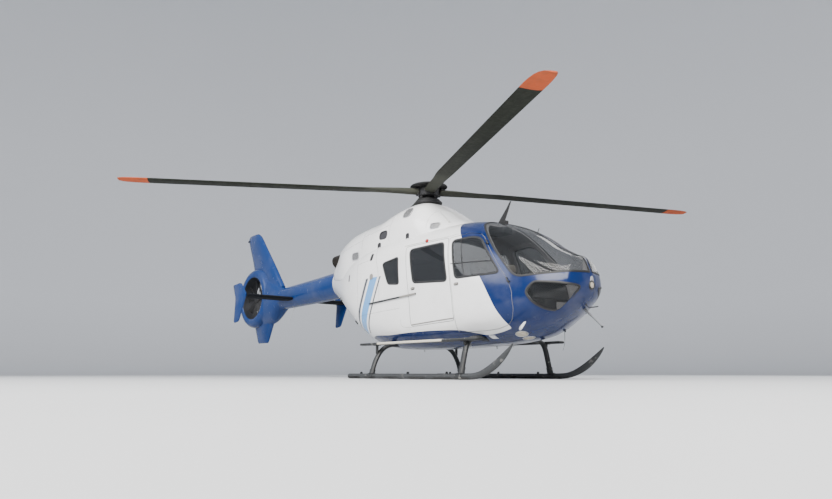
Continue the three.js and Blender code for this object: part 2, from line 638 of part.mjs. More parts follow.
// Gearbox, mast and rotor head
add("gearbox", box(GEARBOX.back, GEARBOX.front, -GEARBOX.half, GEARBOX.half,
  GEARBOX.foot + SEAT_GAP, GEARBOX.top), metal);
const upright = (z0, z1, radius, sides = 20) => rod(vector(0, 0, z0), vector(0, 0, z1), radius, sides);
const mastFoot = GEARBOX.top + MAST_BURIED;
const housing = join([
  upright(GEARBOX.top + SEAT_GAP, SWASHPLATE.z, HOUSING_RADIUS),
  upright(SWASHPLATE.z - SWASHPLATE.below, SWASHPLATE.z + SWASHPLATE.above, SWASHPLATE.radius, 24),
]);
add("mast_housing", housing.subtract(upright(mastFoot, HUB_Z, MAST_RADIUS + MAST_CLEARANCE)), black);

function bladeAngle(index) {
  return (FIRST_BLADE + (360 / BLADE_COUNT) * index) * (Math.PI / 180);
}
const headParts = [
  upright(mastFoot + SEAT_GAP, HUB_Z, MAST_RADIUS),
  upright(HUB_Z - HUB_HALF, HUB_Z + HUB_HALF, BLADE_ROOT - SEAT_GAP, 32),
  capDome(),
];
for (let i = 0; i < BLADE_COUNT; i++) {
  const angle = bladeAngle(i) + PITCH_ROD.lead;
  const at = (r, z) => vector(r * Math.cos(angle), r * Math.sin(angle), z);
  const foot = at(PITCH_ROD.foot, SWASHPLATE.z + SWASHPLATE.above + MAST_CLEARANCE + 3);
  headParts.push(rod(foot, at(PITCH_ROD.top, HUB_Z), PITCH_ROD.radius, 8));
}
add("rotor_head", join(headParts), black);

// The round cap on the rotor head, with a flat top
function capDome() {
  const profile = [[0, 72], [288, 72], [322, 80], [330, 96], [286, 122], [130, 134], [0, 134]]
    .map(([r, z]) => [r, HUB_Z + z]);
  const geometry = new THREE.LatheGeometry(profile.map(([r, z]) => new THREE.Vector2(r, z)), 32);
  geometry.rotateX(Math.PI / 2);
  return solid(geometry);
}

// Blades: [distance from the mast, chord, thickness] from the cuff to the tip
const BLADE = [[BLADE_ROOT, 200, 116], [480, 220, 104], [900, 240, 74], [1250, BLADE_CHORD, 44],
  [4780, BLADE_CHORD, 34], [5000, 250, 26], [ROTOR_RADIUS, 150, 14]];
for (let i = 0; i < BLADE_COUNT; i++) {
  const rings = BLADE.map(([r, chord, thickness]) => {
    const drop = Math.tan(DROOP * (Math.PI / 180)) * Math.max(0, r - BLADE[1][0]);
    return foil(chord, thickness).map(([c, t]) => vector(r, c, HUB_Z - drop + t));
  });
  const geometry = loft(rings);
  geometry.rotateZ(bladeAngle(i));
  add(`main_blade_${i + 1}`, solid(geometry), bladeGrey);
}

// An aerofoil outline as [along the chord, across it], with its nose forward at a third
function foil(chord, thickness) {
  const stations = [[0.33, 0], [0.28, 0.32], [0.1, 0.5], [-0.15, 0.46], [-0.42, 0.2], [-0.67, 0.02]];
  const upper = stations.map(([c, t]) => [c * chord, t * thickness]);
  const lower = stations.slice(1).reverse().map(([c, t]) => [c * chord, -t * thickness]);
  return [...upper, ...lower];
}

// Tail boom
add("tail_boom", sectionLoft(BOOM, 0, 32, 1), navy);

// Fin, fan shroud and ventral fin as one piece. Fin rows: [z, leading edge, trailing edge, thickness]
const FIN = [[2050, -5040, -6500, 200], [2600, -5530, -6590, 170], [3100, -5990, -6820, 130],
  [3400, -6265, -6960, 110], [3505, -6430, -6900, 60]];
const VENTRAL = [[1300, -5460, -6480, 150], [860, -5680, -6260, 90], [780, -5740, -6200, 50]];
function finLoft(rows) {
  return solid(loft(rows.map(([z, front, back, thickness]) => {
    const chord = front - back;
    return foil(chord, thickness).map(([c, t]) => vector(back + 0.67 * chord + c, t, z));
  })));
}
const SHROUD = [[DUCT_RADIUS, 185], [590, 195], [660, 165], [705, 110], [722, 50]];
function shroudRing() {
  const profile = [...SHROUD, ...SHROUD.slice().reverse().map(([r, y]) => [r, -y]), SHROUD[0]];
  const geometry = new THREE.LatheGeometry(profile.map(([r, y]) => new THREE.Vector2(r, y)), 40);
  geometry.translate(FAN_X, 0, FAN_Z);
  return solid(geometry);
}
const DUCT_STEP = 20;          // the fairing ends this far outside the duct's wall
const duct = rod(vector(FAN_X, -FAR, FAN_Z), vector(FAN_X, FAR, FAN_Z), DUCT_RADIUS + DUCT_STEP, 40);
const tailSolids = join([sectionLoft(TAIL_FAIRING, 0, 32, 1), finLoft(FIN), finLoft(VENTRAL)]);
function fanAxle(y0, y1, radius, sides) {
  return rod(vector(FAN_X, y0, FAN_Z), vector(FAN_X, y1, FAN_Z), radius, sides);
}
const stator = [
  fanAxle(POD.front, POD.back, POD.radius, 24),
  fanAxle(FAN_HUB.back + SEAT_GAP, POD.back, POD.bossRadius, 16),
];
for (let i = 0; i < VANES.count; i++) {
  const length = DUCT_RADIUS + DUCT_STEP - VANES.inner;
  const vane = new THREE.BoxGeometry(length, VANES.width, VANES.thickness);
  vane.translate(VANES.inner + length / 2, VANES.y, 0);
  vane.rotateY((2 * Math.PI * i) / VANES.count + VANES.turn);
  vane.translate(FAN_X, 0, FAN_Z);
  stator.push(solid(vane));
}
add("tail_fin", join([tailSolids.subtract(duct), shroudRing(), ...stator]), blue);

// Tail fan: a hub and its blades
const fanParts = [fanAxle(FAN_HUB.front, FAN_HUB.back, FAN_HUB.radius, 24)];
for (let i = 0; i < FAN_BLADES; i++) {
  const rings = [FAN_BLADE.root, FAN_BLADE.tip].map(([r, half, degrees]) => {
    const pitch = degrees * (Math.PI / 180);
    const thick = FAN_BLADE.halfThickness;
    return [[half, thick], [-half, thick], [-half, -thick], [half, -thick]].map(([c, t]) => vector(
      r, FAN_BLADE.middle + t * Math.cos(pitch) + c * Math.sin(pitch),
      c * Math.cos(pitch) - t * Math.sin(pitch)));
  });
  const blade = loft(rings);
  blade.rotateY((2 * Math.PI * i) / FAN_BLADES);
  blade.translate(FAN_X, 0, FAN_Z);
  fanParts.push(solid(blade));
}
add("tail_fan", join(fanParts), metal);

// Stabiliser halves and end plates
const STAB = { front: -4250, back: -4900, z: 1700, root: 120, tip: 1290, thickness: 80 };
const ENDPLATE = [[-4320, 1720], [-4590, 1980], [-4940, 1955], [-4800, 1660], [-4830, 1130],
  [-4630, 1160]];
const END_THICKNESS = 40;
const boomClear = sectionLoft(BOOM, -SEAT_GAP, 32, 1);
for (const [word, side] of SIDES) {
  const chord = STAB.front - STAB.back;
  const rings = [STAB.root, STAB.tip - END_THICKNESS / 2 - SEAT_GAP].map((y) => (
    foil(chord, STAB.thickness).map(([c, t]) => vector(STAB.back + 0.67 * chord + c, side * y, STAB.z + t))));
  add(`stabiliser_${word}`, solid(loft(rings)).subtract(boomClear), navy);
  const plate = sidePrism(rounded(ENDPLATE, 60), side, STAB.tip - END_THICKNESS / 2,
    STAB.tip + END_THICKNESS / 2);
  add(`endplate_${word}`, plate, blue);
}

// Landing gear. Each crosstube ends in collars round the skids, open below.
const COLLAR = { radius: 54, halfLength: 65, foot: 12 };
for (const [word, station, half] of CROSSTUBES) {
  let tube = crosstube(station, half, 0);
  for (const [, side] of SIDES) {
    const collar = rod(vector(station - COLLAR.halfLength, side * TRACK, SKID_RADIUS),
      vector(station + COLLAR.halfLength, side * TRACK, SKID_RADIUS), COLLAR.radius, 20);
    tube = tube.add(collar.intersect(slab(-FAR, FAR, COLLAR.foot)))
      .subtract(skid(side, SEAT_GAP));
  }
  add(`crosstube_${word}`, tube, black);
}
for (const [word, side] of SIDES) {
  add(`skid_${word}`, skid(side, 0), black);
  let step = solid(loft([STEP.back, STEP.front].map((x) => (
    oval(x, side * STEP.y, STEP.z, STEP.halfWidth, STEP.halfHeight)))));
  for (const [, station, half] of CROSSTUBES) {
    const [, tubeZ] = half.find(([y]) => y > STEP.y - 50);
    step = step.add(box(station - STEP.bracket, station + STEP.bracket, side * STEP.y - STEP.bracket,
      side * STEP.y + STEP.bracket, tubeZ - STEP.bracket, STEP.z));
    step = step.subtract(crosstube(station, half, SEAT_GAP));
  }
  add(`step_${word}`, step, black);
}

// Cabin furniture that shows through the glass
const SEAT_WIDTH = 420;
const SEAT_PROFILE = [[-40, 0], [-20, 330], [20, 380], [0, 440], [-400, 420], [-540, 1080],
  [-610, 1080], [-590, 380], [-580, 0]];
function seat(name, front, y) {
  const outline = SEAT_PROFILE.map(([x, z]) => [front + x, FLOOR + SEAT_GAP + z]);
  const shape = new THREE.Shape(outline.map(([x, z]) => new THREE.Vector2(x, z)));
  const geometry = new THREE.ExtrudeGeometry(shape, { depth: SEAT_WIDTH, bevelEnabled: false });
  geometry.rotateX(Math.PI / 2);
  geometry.translate(0, y + SEAT_WIDTH / 2, 0);
  add(name, solid(geometry), cloth);
}
for (const [word, side] of SIDES) seat(`crew_seat_${word}`, 2130, side * 330);
seat("attendant_seat", 420, -340);
const STRETCHER = { back: -600, front: 1200, right: 120, left: 540, frameTop: FLOOR + 120, top: FLOOR + 320 };
const CUSHION_INSET = 20;
add("stretcher", join([
  box(STRETCHER.back, STRETCHER.front, STRETCHER.right, STRETCHER.left, FLOOR + SEAT_GAP, STRETCHER.frameTop),
  box(STRETCHER.back + CUSHION_INSET, STRETCHER.front - CUSHION_INSET, STRETCHER.right + CUSHION_INSET,
    STRETCHER.left - CUSHION_INSET, STRETCHER.frameTop - 1, STRETCHER.top),
]), cloth);
const CONSOLE = { back: 2320, front: 2600, half: 140, top: 1150 };
const PANEL = { back: 2480, front: 2700, half: 420, foot: 1100, top: 1360, clear: 50 };
add("instrument_panel", join([
  box(CONSOLE.back, CONSOLE.front, -CONSOLE.half, CONSOLE.half, FLOOR + SEAT_GAP, CONSOLE.top),
  box(PANEL.back, PANEL.front, -PANEL.half, PANEL.half, PANEL.foot, PANEL.top),
]).intersect(innerAt(PANEL.clear)), black);

// Origin at the bottom centre
const bounds = new THREE.Box3().setFromObject(aircraft);
const middle = bounds.getCenter(vector(0, 0, 0));
aircraft.position.set(-middle.x, -middle.y, -bounds.min.z);

export default aircraft;
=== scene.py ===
"""The looks of a light rescue helicopter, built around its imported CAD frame.

Tables and places are millimetres from the mast axis (x = 0, y = 0) and the skids' soles
(z = 0), as in the part's source, with +X to the nose and +Y to port. place() turns them into
the frame's metres.
"""
import json
import math

import bpy
import numpy as np
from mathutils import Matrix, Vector


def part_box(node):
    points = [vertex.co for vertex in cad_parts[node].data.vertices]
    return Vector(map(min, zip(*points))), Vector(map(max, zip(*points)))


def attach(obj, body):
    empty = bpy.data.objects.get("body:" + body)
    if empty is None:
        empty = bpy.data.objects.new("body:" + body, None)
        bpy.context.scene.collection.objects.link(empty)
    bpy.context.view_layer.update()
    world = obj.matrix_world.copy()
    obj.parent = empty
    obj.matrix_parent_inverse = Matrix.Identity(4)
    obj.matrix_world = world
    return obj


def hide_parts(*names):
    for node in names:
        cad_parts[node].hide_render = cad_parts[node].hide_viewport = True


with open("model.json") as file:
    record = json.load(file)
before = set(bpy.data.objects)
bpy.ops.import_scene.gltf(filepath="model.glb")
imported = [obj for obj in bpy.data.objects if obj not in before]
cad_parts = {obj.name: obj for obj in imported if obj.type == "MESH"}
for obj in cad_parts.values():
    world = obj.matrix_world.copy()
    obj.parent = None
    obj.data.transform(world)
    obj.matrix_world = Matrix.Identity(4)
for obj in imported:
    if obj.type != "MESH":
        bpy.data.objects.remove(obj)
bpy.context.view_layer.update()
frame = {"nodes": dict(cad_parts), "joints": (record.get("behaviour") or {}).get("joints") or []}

SIDES = [("right", -1), ("left", 1)]
SOLE_RISE = 1.431
mast_low, mast_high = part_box("mast_housing")
ORIGIN = np.array([(mast_low.x + mast_high.x) / 2, 0.0, -SOLE_RISE / 1000])

# Body sections: station x, lowest z, highest z, half width, z of the widest line, squareness of
# the lower half, squareness of the upper half (2 is an ellipse)
HULL = [
    (3268, 1185, 1470, 145, 1300, 2.0, 2.0),
    (3195, 1045, 1630, 350, 1250, 2.0, 2.1),
    (3050, 925, 1700, 465, 1210, 2.1, 2.2),
    (2800, 765, 1840, 604, 1180, 2.2, 2.25),
    (2450, 600, 2080, 715, 1150, 2.4, 2.3),
    (2000, 530, 2280, 765, 1150, 2.7, 2.6),
    (1500, 500, 2400, 780, 1150, 3.0, 3.2),
    (800, 480, 2420, 780, 1150, 3.2, 4.0),
    (0, 480, 2400, 780, 1180, 3.2, 4.2),
    (-600, 520, 2380, 775, 1250, 3.0, 4.0),
    (-1100, 680, 2350, 740, 1400, 2.6, 3.4),
    (-1600, 980, 2320, 640, 1550, 2.4, 2.8),
    (-2100, 1300, 2260, 470, 1720, 2.2, 2.3),
    (-2600, 1560, 2160, 280, 1860, 2.0, 2.0),
]
OUTSIDE = [(3290, 1240, 1370, 40, 1300, 2.0, 2.0), *HULL]
COWL = [
    (1180, 2300, 2445, 300, 2330, 2.0, 2.2),
    (900, 2150, 2580, 500, 2250, 2.0, 2.4),
    (550, 2150, 2800, 570, 2250, 2.0, 2.6),
    (200, 2100, 2970, 600, 2230, 2.0, 2.8),
    (-300, 2050, 2950, 615, 2200, 2.0, 2.8),
    (-800, 1950, 2810, 620, 2150, 2.0, 3.0),
    (-1300, 1850, 2765, 610, 2050, 2.0, 3.0),
    (-1800, 1700, 2700, 570, 1850, 2.0, 2.9),
    (-2300, 1750, 2560, 405, 1900, 2.0, 2.6),
    (-2560, 1800, 2400, 280, 1930, 2.0, 2.2),
]
BOOM = [
    (-2600.3, 1580, 2130, 265, 1855, 2.0, 2.0),
    (-3600, 1550, 2070, 245, 1810, 2.0, 2.0),
    (-5000, 1520, 2000, 215, 1760, 2.0, 2.0),
]
TAIL_FAIRING = [
    (-5000.3, 1520, 2000, 215, 1760, 2.0, 2.0),
    (-5400, 1240, 2200, 205, 1740, 2.0, 2.0),
    (-5850, 1180, 2400, 180, 1800, 2.0, 2.0),
]

# Outlines are [x, z] corners seen from the side
WINDSCREEN = [(1700, 2700), (1700, 2330), (1800, 2225), (1967, 2035), (2136, 1830), (2480, 1440),
              (2580, 1385), (3227, 1425), (3500, 1445), (3500, 2700)]
CHIN_WINDOW = [(2680, 1155), (2705, 1220), (2790, 1300), (2890, 1292), (3070, 1274), (3245, 1240),
               (3240, 1190), (3166, 1080), (3057, 990), (2945, 908), (2852, 935), (2751, 1030)]
CREW_DOOR = [(1430, 680), (1430, 880), (1405, 1180), (1258, 2120), (1640, 2145), (1820, 2110),
             (1905, 2050), (1985, 1940), (2430, 1350), (2490, 1180), (2490, 950), (2430, 820),
             (2330, 745), (2150, 700), (1900, 680)]
CREW_WINDOW = [(1455, 1470), (1330, 2060), (1700, 2075), (1862, 2029), (2270, 1490), (2240, 1465)]
SLIDING_DOOR = [(430, 810), (405, 1180), (255, 2115), (1238, 2120), (1385, 1180), (1410, 850)]
SLIDING_WINDOW = [(493, 1500), (365, 2050), (1150, 2060), (1279, 1447)]
REAR_WINDOW = [(-155, 1544), (-332, 1911), (74, 1970), (131, 1515)]
CLAMSHELL = [(-1180, 400), (-1180, 706), (-2090, 1585), (-2230, 1585), (-2470, 1405), (-2470, 400)]
CREW_HINGES = [(2438, 1343), (1995, 1941)]
CLAMSHELL_HINGES = [(-1500, 1018), (-1960, 1462)]

WALL = 40
DOOR_GAP = 6
SEAT_GAP = 0.3
FLOOR = 720
CEILING = 2290
GLASS_INSET = 3
GLASS = 8
CENTRE_POST = 30
SIDE_START = 300
CHIN_START = 170
FAR = 2000


def place(points):
    """Millimetres from the mast axis and the soles, as metres in the frame."""
    return np.asarray(points, float) / 1000 + ORIGIN


# Sections, lofts and skins

def smooth_rows(rows, steps):
    """Rows between those of a section table, on a smooth curve through them."""
    rows = np.array(rows, float)
    padded = np.vstack([2 * rows[0] - rows[1], rows, 2 * rows[-1] - rows[-2]])
    u = (np.arange(steps) / steps)[:, None]
    spans = []
    for a, b, c, d in zip(padded, padded[1:], padded[2:], padded[3:]):
        spans.append(0.5 * (2 * b + (c - a) * u + (2 * a - 5 * b + 4 * c - d) * u ** 2
                            + (3 * b - a - 3 * c + d) * u ** 3))
    return np.vstack([*spans, rows[-1:]])


def section_ring(row, inset, quarter):
    """One section as points that are evenly spaced along each quarter of it."""
    x, belly, top, half, wide, low, high = row
    points = []
    for turn, exponent, height in ((0, high, top - wide), (1, high, top - wide),
                                   (2, low, wide - belly), (3, low, wide - belly)):
        angle = np.linspace(turn, turn + 1, 400) * math.pi / 2
        across, up = np.cos(angle), np.sin(angle)
        y = (half - inset) * np.sign(across) * np.abs(across) ** (2 / exponent)
        z = wide + (height - inset) * np.sign(up) * np.abs(up) ** (2 / exponent)
        run = np.concatenate([[0], np.cumsum(np.hypot(np.diff(y), np.diff(z)))])
        at = np.linspace(0, run[-1], quarter, endpoint=False)
        points.append(np.column_stack([np.full(quarter, x), np.interp(at, run, y),
                                       np.interp(at, run, z)]))
    return np.vstack(points)


def loft(rings, caps=True):
    """Points and faces of a skin through rings with equal counts."""
    rings = [np.asarray(r, float) for r in rings]
    count = len(rings[0])
    points = np.vstack(rings)
    faces = []
    for r in range(len(rings) - 1):
        for k in range(count):
            a, b = r * count + k, r * count + (k + 1) % count
            faces.append((a, b, b + count, a + count))
    if caps:
        faces.append(tuple(range(count))[::-1])
        faces.append(tuple(range((len(rings) - 1) * count, len(rings) * count)))
    triangles = np.array([(f[0], f[i], f[i + 1]) for f in faces for i in range(1, len(f) - 1)])
    a, b, c = (points[triangles[:, i]] - points.mean(axis=0) for i in range(3))
    if np.sum(a * np.cross(b, c)) < 0:
        faces = [face[::-1] for face in faces]
    return points, faces


def section_loft(rows, inset=0.0, quarter=40, steps=8):
    return loft([section_ring(row, inset, quarter) for row in smooth_rows(rows, steps)])


class Skin:
    """The outside of a section table as a surface that can be asked for points and normals."""

    def __init__(self, rows):
        self.table = smooth_rows(rows, 40)[::-1]

    def columns(self, x):
        return [np.interp(x, self.table[:, 0], self.table[:, i]) for i in range(1, 7)]

    def level(self, points):
        """1 on the skin, less inside it."""
        x, y, z = np.asarray(points, float).T
        belly, top, half, wide, low, high = self.columns(x)
        upper = z > wide
        exponent = np.where(upper, high, low)
        height = np.where(upper, top - wide, wide - belly)
        inside = (np.abs(y) / half) ** exponent + (np.abs(z - wide) / height) ** exponent
        return inside ** (1 / exponent)

    def normal(self, points):
        points = np.atleast_2d(np.asarray(points, float))
        slope = []
        for axis in np.eye(3):
            slope.append(self.level(points + axis * 2) - self.level(points - axis * 2))
        slope = np.array(slope).T
        return slope / np.maximum(np.linalg.norm(slope, axis=1, keepdims=True), 1e-12)

    def side(self, x, z, side, out=0.0):
        """Points on one side of the skin at stations and heights."""
        x, z = np.broadcast_arrays(np.asarray(x, float), np.asarray(z, float))
        belly, top, half, wide, low, high = self.columns(x)
        upper = z > wide
        exponent = np.where(upper, high, low)
        share = np.abs(z - wide) / np.where(upper, top - wide, wide - belly)
        y = half * np.clip(1 - share ** exponent, 0, 1) ** (1 / exponent)
        points = np.column_stack([x.ravel(), (side * y).ravel(), z.ravel()])
        return points + out * self.normal(points)

    def above(self, x, y, out=0.0, way=1):
        """Points on the top of the skin (way 1) or its belly (way -1)."""
        x, y = np.broadcast_arrays(np.asarray(x, float), np.asarray(y, float))
        belly, top, half, wide, low, high = self.columns(x)
        exponent = high if way > 0 else low
        height = top - wide if way > 0 else wide - belly
        z = wide + way * height * np.clip(1 - (np.abs(y) / half) ** exponent, 0, 1) ** (1 / exponent)
        points = np.column_stack([x.ravel(), y.ravel(), z.ravel()])
        return points + out * self.normal(points)


hull_skin = Skin(OUTSIDE)
cowl_skin = Skin(COWL)
boom_skin = Skin(BOOM)


# Outlines

def shrunk(outline, distance):
    """Moves every edge of an outline inwards, or outwards with a negative distance."""
    points = np.array(outline, float)
    following = np.roll(points, -1, axis=0)
    area = np.sum(points[:, 0] * following[:, 1] - following[:, 0] * points[:, 1])
    edge = following - points
    edge /= np.linalg.norm(edge, axis=1, keepdims=True)
    normal = np.column_stack([-edge[:, 1], edge[:, 0]]) * np.sign(area)
    offset = np.sum(normal * points, axis=1) + distance
    result = []
    for i in range(len(points)):
        pair = np.array([normal[i - 1], normal[i]])
        result.append(np.linalg.solve(pair, [offset[i - 1], offset[i]]))
    return np.array(result)


def rounded(outline, radius, steps=6):
    """Rounds the corners of an outline with short arcs."""
    points = np.array(outline, float)
    result = []
    for i, corner in enumerate(points):
        ends = []
        for other in (points[i - 1], points[(i + 1) % len(points)]):
            length = np.linalg.norm(other - corner)
            ends.append(corner + (other - corner) * min(radius, 0.45 * length) / length)
        for t in np.linspace(0, 1, steps + 1):
            result.append((1 - t) ** 2 * ends[0] + 2 * t * (1 - t) * corner + t ** 2 * ends[1])
    return np.array(result)


def dense(outline, spacing=20.0, closed=True):
    """Points along an outline or line, no further apart than the spacing."""
    points = np.array(outline, float)
    ends = np.roll(points, -1, axis=0) if closed else points[1:]
    result = []
    for a, b in zip(points, ends):
        count = max(1, int(np.ceil(np.linalg.norm(b - a) / spacing)))
        result += [a + (b - a) * i / count for i in range(count)]
    if not closed:
        result.append(points[-1])
    return np.array(result)


# Shapes as (points, faces) in millimetres

def merged(shapes):
    points, faces, start = [], [], 0
    for shape_points, shape_faces in shapes:
        points.append(np.asarray(shape_points, float))
        faces += [tuple(i + start for i in face) for face in shape_faces]
        start += len(shape_points)
    return np.vstack(points), faces


def prism(outline, side, near=0.0, far=FAR):
    """A solid over an [x, z] outline, on one side of the middle plane."""
    rings = []
    for y in (near, far):
        rings.append(np.array([(x, side * y, z) for x, z in outline]))
    return loft(rings)


def block(x0, x1, y0, y1, z0, z1):
    corners = [(x0, y0), (x1, y0), (x1, y1), (x0, y1)]
    return loft([[(x, y, z) for x, y in corners] for z in (z0, z1)])


def sweep(path, width, height=None, across=None, sides=16):
    """A tube along a path, with half widths along across and half heights square to it."""
    path = np.asarray(path, float)
    width = np.broadcast_to(width, len(path))
    height = width if height is None else np.broadcast_to(height, len(path))
    along = np.gradient(path, axis=0)
    along /= np.linalg.norm(along, axis=1, keepdims=True)
    turn = 2 * np.pi * (np.arange(sides) + 0.5) / sides
    if across is None:
        across = np.cross(along[0], (0.0, 0.0, 1.0) if abs(along[0][2]) < 0.9 else (1.0, 0.0, 0.0))
    other = np.asarray(across, float)
    rings = []
    for point, direction, w, h in zip(path, along, width, height):
        other = other - direction * np.dot(other, direction)
        other /= np.linalg.norm(other)
        lift = np.cross(other, direction)
        rings.append(point + w * np.cos(turn)[:, None] * other + h * np.sin(turn)[:, None] * lift)
    return loft(rings)


def softened(rows, times=3):
    """Cuts the corners of a line, with its ends kept."""
    rows = np.array(rows, float)
    for _ in range(times):
        cut = np.stack([0.75 * rows[:-1] + 0.25 * rows[1:], 0.25 * rows[:-1] + 0.75 * rows[1:]], axis=1)
        rows = np.vstack([rows[:1], cut.reshape(-1, rows.shape[1])[1:-1], rows[-1:]])
    return rows


def turned(profile, centre, axis, sides=48):
    """A lathe shape: profile rows are [radius, distance along the axis]."""
    axis = np.asarray(axis, float) / np.linalg.norm(axis)
    across = np.cross(axis, (0.0, 0.0, 1.0) if abs(axis[2]) < 0.9 else (1.0, 0.0, 0.0))
    across /= np.linalg.norm(across)
    other = np.cross(axis, across)
    angle = 2 * np.pi * np.arange(sides) / sides
    spokes = np.cos(angle)[:, None] * across + np.sin(angle)[:, None] * other
    rings = [np.asarray(centre, float) + max(r, 0.01) * spokes + d * axis for r, d in profile]
    return loft(rings)


def ribbon(points, normals, width, height, closed=True):
    """A strip that lies on a surface, with a low rounded back."""
    points = np.asarray(points, float)
    if closed:
        along = np.roll(points, -1, axis=0) - np.roll(points, 1, axis=0)
    else:
        along = np.gradient(points, axis=0)
    across = np.cross(along, normals)
    across /= np.linalg.norm(across, axis=1, keepdims=True)
    profile = [(-0.5, -1.0), (-0.5, 0.35), (-0.25, 0.85), (0.0, 1.0), (0.25, 0.85), (0.5, 0.35),
               (0.5, -1.0)]
    rings = [[p + width * s * a + height * h * n for s, h in profile]
             for p, a, n in zip(points, across, normals)]
    if closed:
        rings.append(rings[0])
    return loft(rings, caps=not closed)


def draped(outline, side, skin=hull_skin, closed=True, out=0.0):
    """An [x, z] line laid on one side of a skin, as points and normals."""
    line = dense(outline, closed=closed)
    points = skin.side(line[:, 0], line[:, 1], side)
    normals = skin.normal(points)
    return points + out * normals, normals


def joined(name, shape, materials, body="airframe", replaces=(), smooth=30.0):
    """Makes an object of a shape and lets it ride on a body."""
    points, faces = shape
    mesh = bpy.data.meshes.new(name)
    mesh.from_pydata(place(points).tolist(), [], faces)
    obj = bpy.data.objects.new(name, mesh)
    bpy.context.scene.collection.objects.link(obj)
    for material in np.atleast_1d(materials):
        mesh.materials.append(material)
    mesh.shade_smooth()
    mesh.set_sharp_from_angle(angle=math.radians(smooth))
    if body:
        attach(obj, body)
    if replaces:
        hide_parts(*replaces)
    return obj


def carve(obj, shape, operation="DIFFERENCE"):
    """Cuts, keeps or adds a closed shape."""
    tool = joined("tool", shape, [], None)
    modifier = obj.modifiers.new("carve", "BOOLEAN")
    modifier.operation = operation
    modifier.object = tool
    modifier.solver = "MANIFOLD"
    bpy.context.view_layer.update()
    graph = bpy.context.evaluated_depsgraph_get()
    result = bpy.data.meshes.new_from_object(obj.evaluated_get(graph))
    obj.modifiers.clear()
    old = obj.data
    result.name = old.name
    obj.data = result
    bpy.data.meshes.remove(old)
    tool_mesh = tool.data
    bpy.data.objects.remove(tool)
    bpy.data.meshes.remove(tool_mesh)
    return obj


def read(items, key, width=1, kind=np.float32):
    """One value or row of values of every vertex, corner or face."""
    values = np.empty(len(items) * width, kind)
    items.foreach_get(key, values)
    return values.reshape(-1, width) if width > 1 else values


def polish(obj, skin, outside, inside, reach=0.985):
    """Gives the faces that lie on a skin the outside material and the skin's own normals."""
    mesh = obj.data
    mesh.materials.clear()
    mesh.materials.append(outside)
    mesh.materials.append(inside)
    mesh.shade_smooth()
    mesh.set_sharp_from_angle(angle=math.radians(35))
    points = (read(mesh.vertices, "co", 3).astype(float) - ORIGIN) * 1000
    corner_vertex = read(mesh.loops, "vertex_index", kind=np.int32)
    totals = read(mesh.polygons, "loop_total", kind=np.int32)
    face_of = np.repeat(np.arange(len(totals)), totals)
    face_normal = read(mesh.polygons, "normal", 3)
    skin_normal = skin.normal(points)[corner_vertex]
    on_skin = (skin.level(points)[corner_vertex] > reach)
    along = np.sum(skin_normal * face_normal[face_of], axis=1) > 0.8
    good = np.ones(len(totals), bool)
    np.logical_and.at(good, face_of, on_skin & along)
    corners = read(mesh.corner_normals, "vector", 3)
    use = good[face_of]
    corners[use] = skin_normal[use]
    mesh.polygons.foreach_set("material_index", np.where(good, 0, 1).astype(np.int32))
    mesh.normals_split_custom_set(corners.tolist())
    return obj


# Materials

class Graph:
    """A material's nodes, made one call at a time."""

    def __init__(self, name):
        self.material = bpy.data.materials.new(name)
        self.material.use_nodes = True
        self.tree = self.material.node_tree
        self.shader = self.tree.nodes["Principled BSDF"]
        self.coordinates = self.node("ShaderNodeTexCoord").outputs["Object"]

    def node(self, kind, settings=None, **inputs):
        made = self.tree.nodes.new(kind)
        for key, value in (settings or {}).items():
            setattr(made, key, value)
        for key, value in inputs.items():
            self.feed(made.inputs[key.replace("_", " ")], value)
        return made

    def feed(self, socket, value):
        if isinstance(value, bpy.types.NodeSocket):
            self.tree.links.new(value, socket)
        else:
            socket.default_value = value

    def set(self, **values):
        for key, value in values.items():
            self.feed(self.shader.inputs[key.replace("_", " ")], value)

    def math(self, operation, *values):
        made = self.tree.nodes.new("ShaderNodeMath")
        made.operation = operation
        for socket, value in zip(made.inputs, values):
            self.feed(socket, value)
        return made.outputs[0]

    def noise(self, scale, detail=4.0, stretch=(1, 1, 1)):
        mapped = self.node("ShaderNodeMapping", Vector=self.coordinates, Scale=stretch)
        made = self.node("ShaderNodeTexNoise", Vector=mapped.outputs[0], Scale=scale, Detail=detail)
        return made.outputs["Fac"]

    def ramp(self, value, low, high, to_low=0.0, to_high=1.0):
        made = self.node("ShaderNodeMapRange", {"clamp": True})
        for socket, number in zip(made.inputs, (value, low, high, to_low, to_high)):
            self.feed(socket, number)
        return made.outputs[0]

    def mix(self, share, a, b):
        made = self.node("ShaderNodeMix", {"data_type": "RGBA"})
        self.feed(made.inputs[0], share)
        self.feed(made.inputs[6], a)
        self.feed(made.inputs[7], b)
        return made.outputs[2]

    def bump(self, height, strength, distance=0.01):
        made = self.node("ShaderNodeBump", Height=height, Strength=strength, Distance=distance)
        self.set(Normal=made.outputs[0])


def rgb(red, green, blue):
    return (red, green, blue, 1.0)


WHITE = rgb(0.87, 0.87, 0.87)
NAVY = rgb(0.003, 0.016, 0.085)
MID_BLUE = rgb(0.008, 0.034, 0.14)
LIGHT_BLUE = rgb(0.13, 0.36, 0.72)
GREY = rgb(0.08, 0.085, 0.1)


def gloss_finish(graph, colour, dirt=0.12, coat=0.8, shine=0.5):
    """Coachwork paint over a colour: faint dust, faint ripple and a clear coat."""
    dust = graph.ramp(graph.noise(3.0, 8.0), 0.45, 0.8, 0.0, dirt)
    graph.set(Base_Color=graph.mix(dust, colour, rgb(0.35, 0.33, 0.3)),
              Roughness=graph.ramp(graph.noise(9.0), 0.3, 0.7, 0.16, 0.28), Coat_Weight=coat,
              Specular_IOR_Level=shine, Coat_Roughness=0.09)
    graph.bump(graph.noise(1.6, 2.0), 0.12, 0.02)


